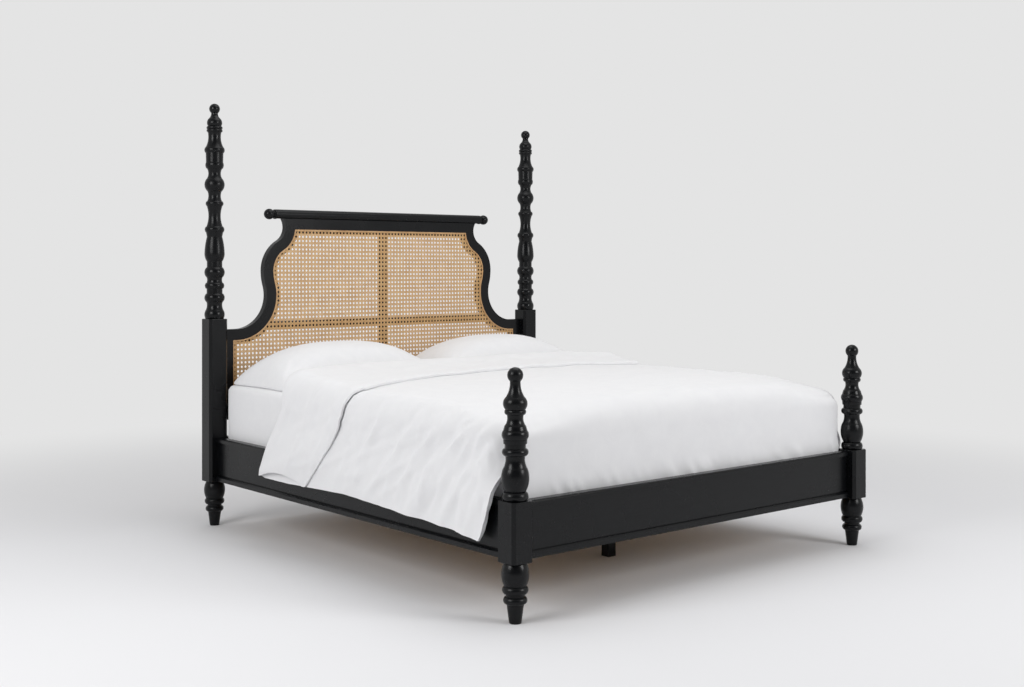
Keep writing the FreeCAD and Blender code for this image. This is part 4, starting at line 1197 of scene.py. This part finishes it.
    def main_point(self, strip: Strip, share: float) -> tuple:
        """Place a point of the lower layer.

        Args:
            strip: line of the duvet.
            share: 0 at the foot, 1 at the fold.

        Returns:
            The point and the thickness there.
        """
        start = self.split + self.foot_slant * strip.hung ** 2.2
        end = self.fold_at(strip)
        y = start + (end - start) * share
        return self.saddle(strip, y, 0.0), self.loft_at(strip, end - y)

    def fold_point(self, strip: Strip, angle: float) -> tuple:
        """Place a point round the fold.

        Args:
            strip: line of the duvet.
            angle: angle from the lower layer, in radians.

        Returns:
            The point and the thickness there.
        """
        end, radius = self.fold_at(strip), self.radius_at(strip)
        x, _, z = self.saddle(strip, end, radius * (1 - math.cos(angle)))
        return (x, end + radius * math.sin(angle), z), self.loft_at(strip, 0.0)

    def radius_at(self, strip: Strip) -> float:
        """Give the inner radius of the fold, which is fuller on top than where it hangs."""
        return self.fold_radius + self.fold_puff * strip.up ** 2

    def loft_at(self, strip: Strip, to_fold: float) -> float:
        """Give the duvet's thickness under a point of the lower layer.

        Args:
            strip: line of the duvet.
            to_fold: distance to the fold.

        Returns:
            Millimetres.
        """
        full = self.hang_thick + (self.loft - self.hang_thick) * strip.up ** 2
        edged = self.hem_thick + (full - self.hem_thick) * ease(strip.drop, -0.02, 0.1)
        return edged * (1 - 0.42 * ease(to_fold, 170, 0) * strip.up)

    def flap_point(self, strip: Strip, share: float) -> tuple:
        """Place a point of the part that is turned back.

        Args:
            strip: line of the duvet.
            share: 0 at the fold, 1 at the free hem.

        Returns:
            The point and the thickness there.
        """
        places, hems = zip(*self.flap_top)
        start = self.fold_at(strip)
        slant = self.flap_slant_left if strip.sign < 0 else self.flap_slant_right
        hem = float(np.interp(strip.x, places, hems)) + 35 * (1 - strip.up) + slant * strip.hung ** 1.4
        hem += 6 * ripple(strip.x, 300 * strip.drop, size=160, seed=2.2)
        y = start + (hem - start) * share
        gape = max(0.0, math.sin(math.pi * min(1.0, share * 1.08))) ** 0.8
        flat = 1 - ease(share, 0.05, 0.85)
        lift = 2 * self.radius_at(strip) * flat + 0.5 + self.flap_gape * strip.hung ** 2 * gape
        loose = 0.5 + 4.5 * strip.out + 1.2 * ease(strip.x, -250, -800)
        waved = 0.5 + ripple(strip.x, 400 * strip.drop, size=130, seed=6.1)
        lift += loose * ease(share, 0.8, 1.0) * waved
        x, y, z = self.saddle(strip, y, lift)
        z += self.flap_rise * strip.hung ** 3 * gape
        rolled = self.flap_full + self.flap_roll * (1 - ease(share, 0.0, 0.35))
        body = self.flap_thick + rolled * strip.up
        edge = ease(share, 1.03, 0.93) * ease(strip.drop, -0.02, 0.1)
        return (x, y, z), self.hem_thick + (body - self.hem_thick) * edge


@dataclass
class Studio:
    """Pale floor, soft light and the camera."""

    pale: str = "#e2e2e4"
    back: str = "#e4e4e4"
    eye: tuple[float, float, float] = (-3.6777, -4.3016, 1.1760)
    heading: float = -0.700
    lens: float = 45.70
    shift: float = -0.0774
    fill: float = 0.66
    dark: float = 0.10
    dark_side: tuple[float, float, float] = (-0.649, -0.759, 0.05)
    dark_edge: tuple[float, float] = (0.3, 0.92)
    fade: tuple[float, float] = (1.7, 4.8)
    aim: tuple[float, float, float] = (0.0, 0.0, 0.6)
    lamps: tuple[tuple[str, tuple[float, float, float], float, float], ...] = (
        ("softbox_top", (0.2, -0.2, 4.2), 2.6, 41.0), ("softbox_left", (-4.6, -0.6, 2.6), 1.9, 84.0),
        ("softbox_front", (1.6, -5.2, 2.6), 1.7, 98.0))

    def build(self) -> None:
        """Set floor, light and camera."""
        self.floor()
        self.light()
        self.camera()
        bpy.context.scene.view_settings.view_transform = "Standard"
        LOG.info("studio: floor, lights and camera")

    def floor(self) -> None:
        """Lay a wide pale floor that runs into the background far from the bed."""
        bpy.ops.object.select_all(action="DESELECT")
        bpy.ops.mesh.primitive_circle_add(vertices=96, radius=60, fill_type="NGON", location=(0, 0, 0))
        floor = bpy.context.object
        floor.name = "studio_floor"
        settle_in_place(floor)
        # A dull pale sheet that takes soft shadows and fades into the background.
        material, add, place = start_material("matt_paper_floor")
        away = add("VectorMath", {0: place}, operation="LENGTH")
        fade = add(
            "MapRange",
            {"Value": away.outputs["Value"], "From Min": self.fade[0], "From Max": self.fade[1]},
            interpolation_type="SMOOTHSTEP")
        rays = add("LightPath")
        seen = add(
            "Math", {0: rays.outputs["Is Camera Ray"], 1: rays.outputs["Is Glossy Ray"]}, operation="MAXIMUM")
        share = add("Math", {0: fade, 1: seen}, operation="MULTIPLY")
        paper = add("BsdfPrincipled", {"Base Color": linear(self.pale), "Roughness": 0.9})
        glow = add("Emission", {"Color": linear(self.back), "Strength": 1.0})
        mixed = add("MixShader", {0: share, 1: paper, 2: glow})
        add("OutputMaterial", {"Surface": mixed})
        dress(floor, material)

    def light(self) -> None:
        """Set a pale world, darker behind the camera as in a studio, and softboxes above, left and in front."""
        world = bpy.data.worlds.new("studio_world")
        bpy.context.scene.world = world
        world.use_nodes = True
        world.node_tree.nodes.clear()
        add = partial(add_node, world.node_tree)
        rays = add("LightPath")
        heading = add("TexCoord").outputs["Generated"]
        facing = add("VectorMath", {0: heading, 1: self.dark_side}, operation="DOT_PRODUCT")
        level = add(
            "MapRange",
            {"Value": facing.outputs["Value"], "From Min": self.dark_edge[0], "From Max": self.dark_edge[1],
             "To Min": self.fill, "To Max": self.dark}, interpolation_type="SMOOTHSTEP")
        fill = add("Background", {"Color": linear("#ffffff"), "Strength": level})
        back = add("Background", {"Color": linear(self.back), "Strength": 1.0})
        mixed = add("MixShader", {0: rays.outputs["Is Camera Ray"], 1: fill, 2: back})
        add("OutputWorld", {"Surface": mixed})
        for name, place, size, power in self.lamps:
            lamp = bpy.data.lights.new(name, "AREA")
            lamp.shape = "SQUARE"
            lamp.size = size
            lamp.energy = power
            box = bpy.data.objects.new(name, lamp)
            bpy.context.collection.objects.link(box)
            box.location = place
            box.rotation_euler = (Vector(self.aim) - box.location).to_track_quat("-Z", "Y").to_euler()

    def camera(self) -> None:
        """Stand the camera where the picture was taken from."""
        data = bpy.data.cameras.new("camera")
        data.sensor_width = 36.0
        data.lens = self.lens
        data.shift_y = self.shift
        data.clip_end = 200.0
        camera = bpy.data.objects.new("camera", data)
        bpy.context.collection.objects.link(camera)
        camera.location = self.eye
        camera.rotation_euler = (math.pi / 2, 0, self.heading)
        bpy.context.scene.camera = camera


def main() -> None:
    """Dress the bed piece by piece."""
    logging.basicConfig(level=logging.INFO, format="%(name)s: %(message)s")
    Studio().build()
    WoodFrame().dress()
    for part in (CaneWeave(), CaneBars(), Mattress(), *(Pillow(side) for side in Side), Duvet()):
        piece = part.build()
        LOG.info("%s: %d faces", piece.name, len(piece.data.polygons))


if __name__ == "__main__":
    main()
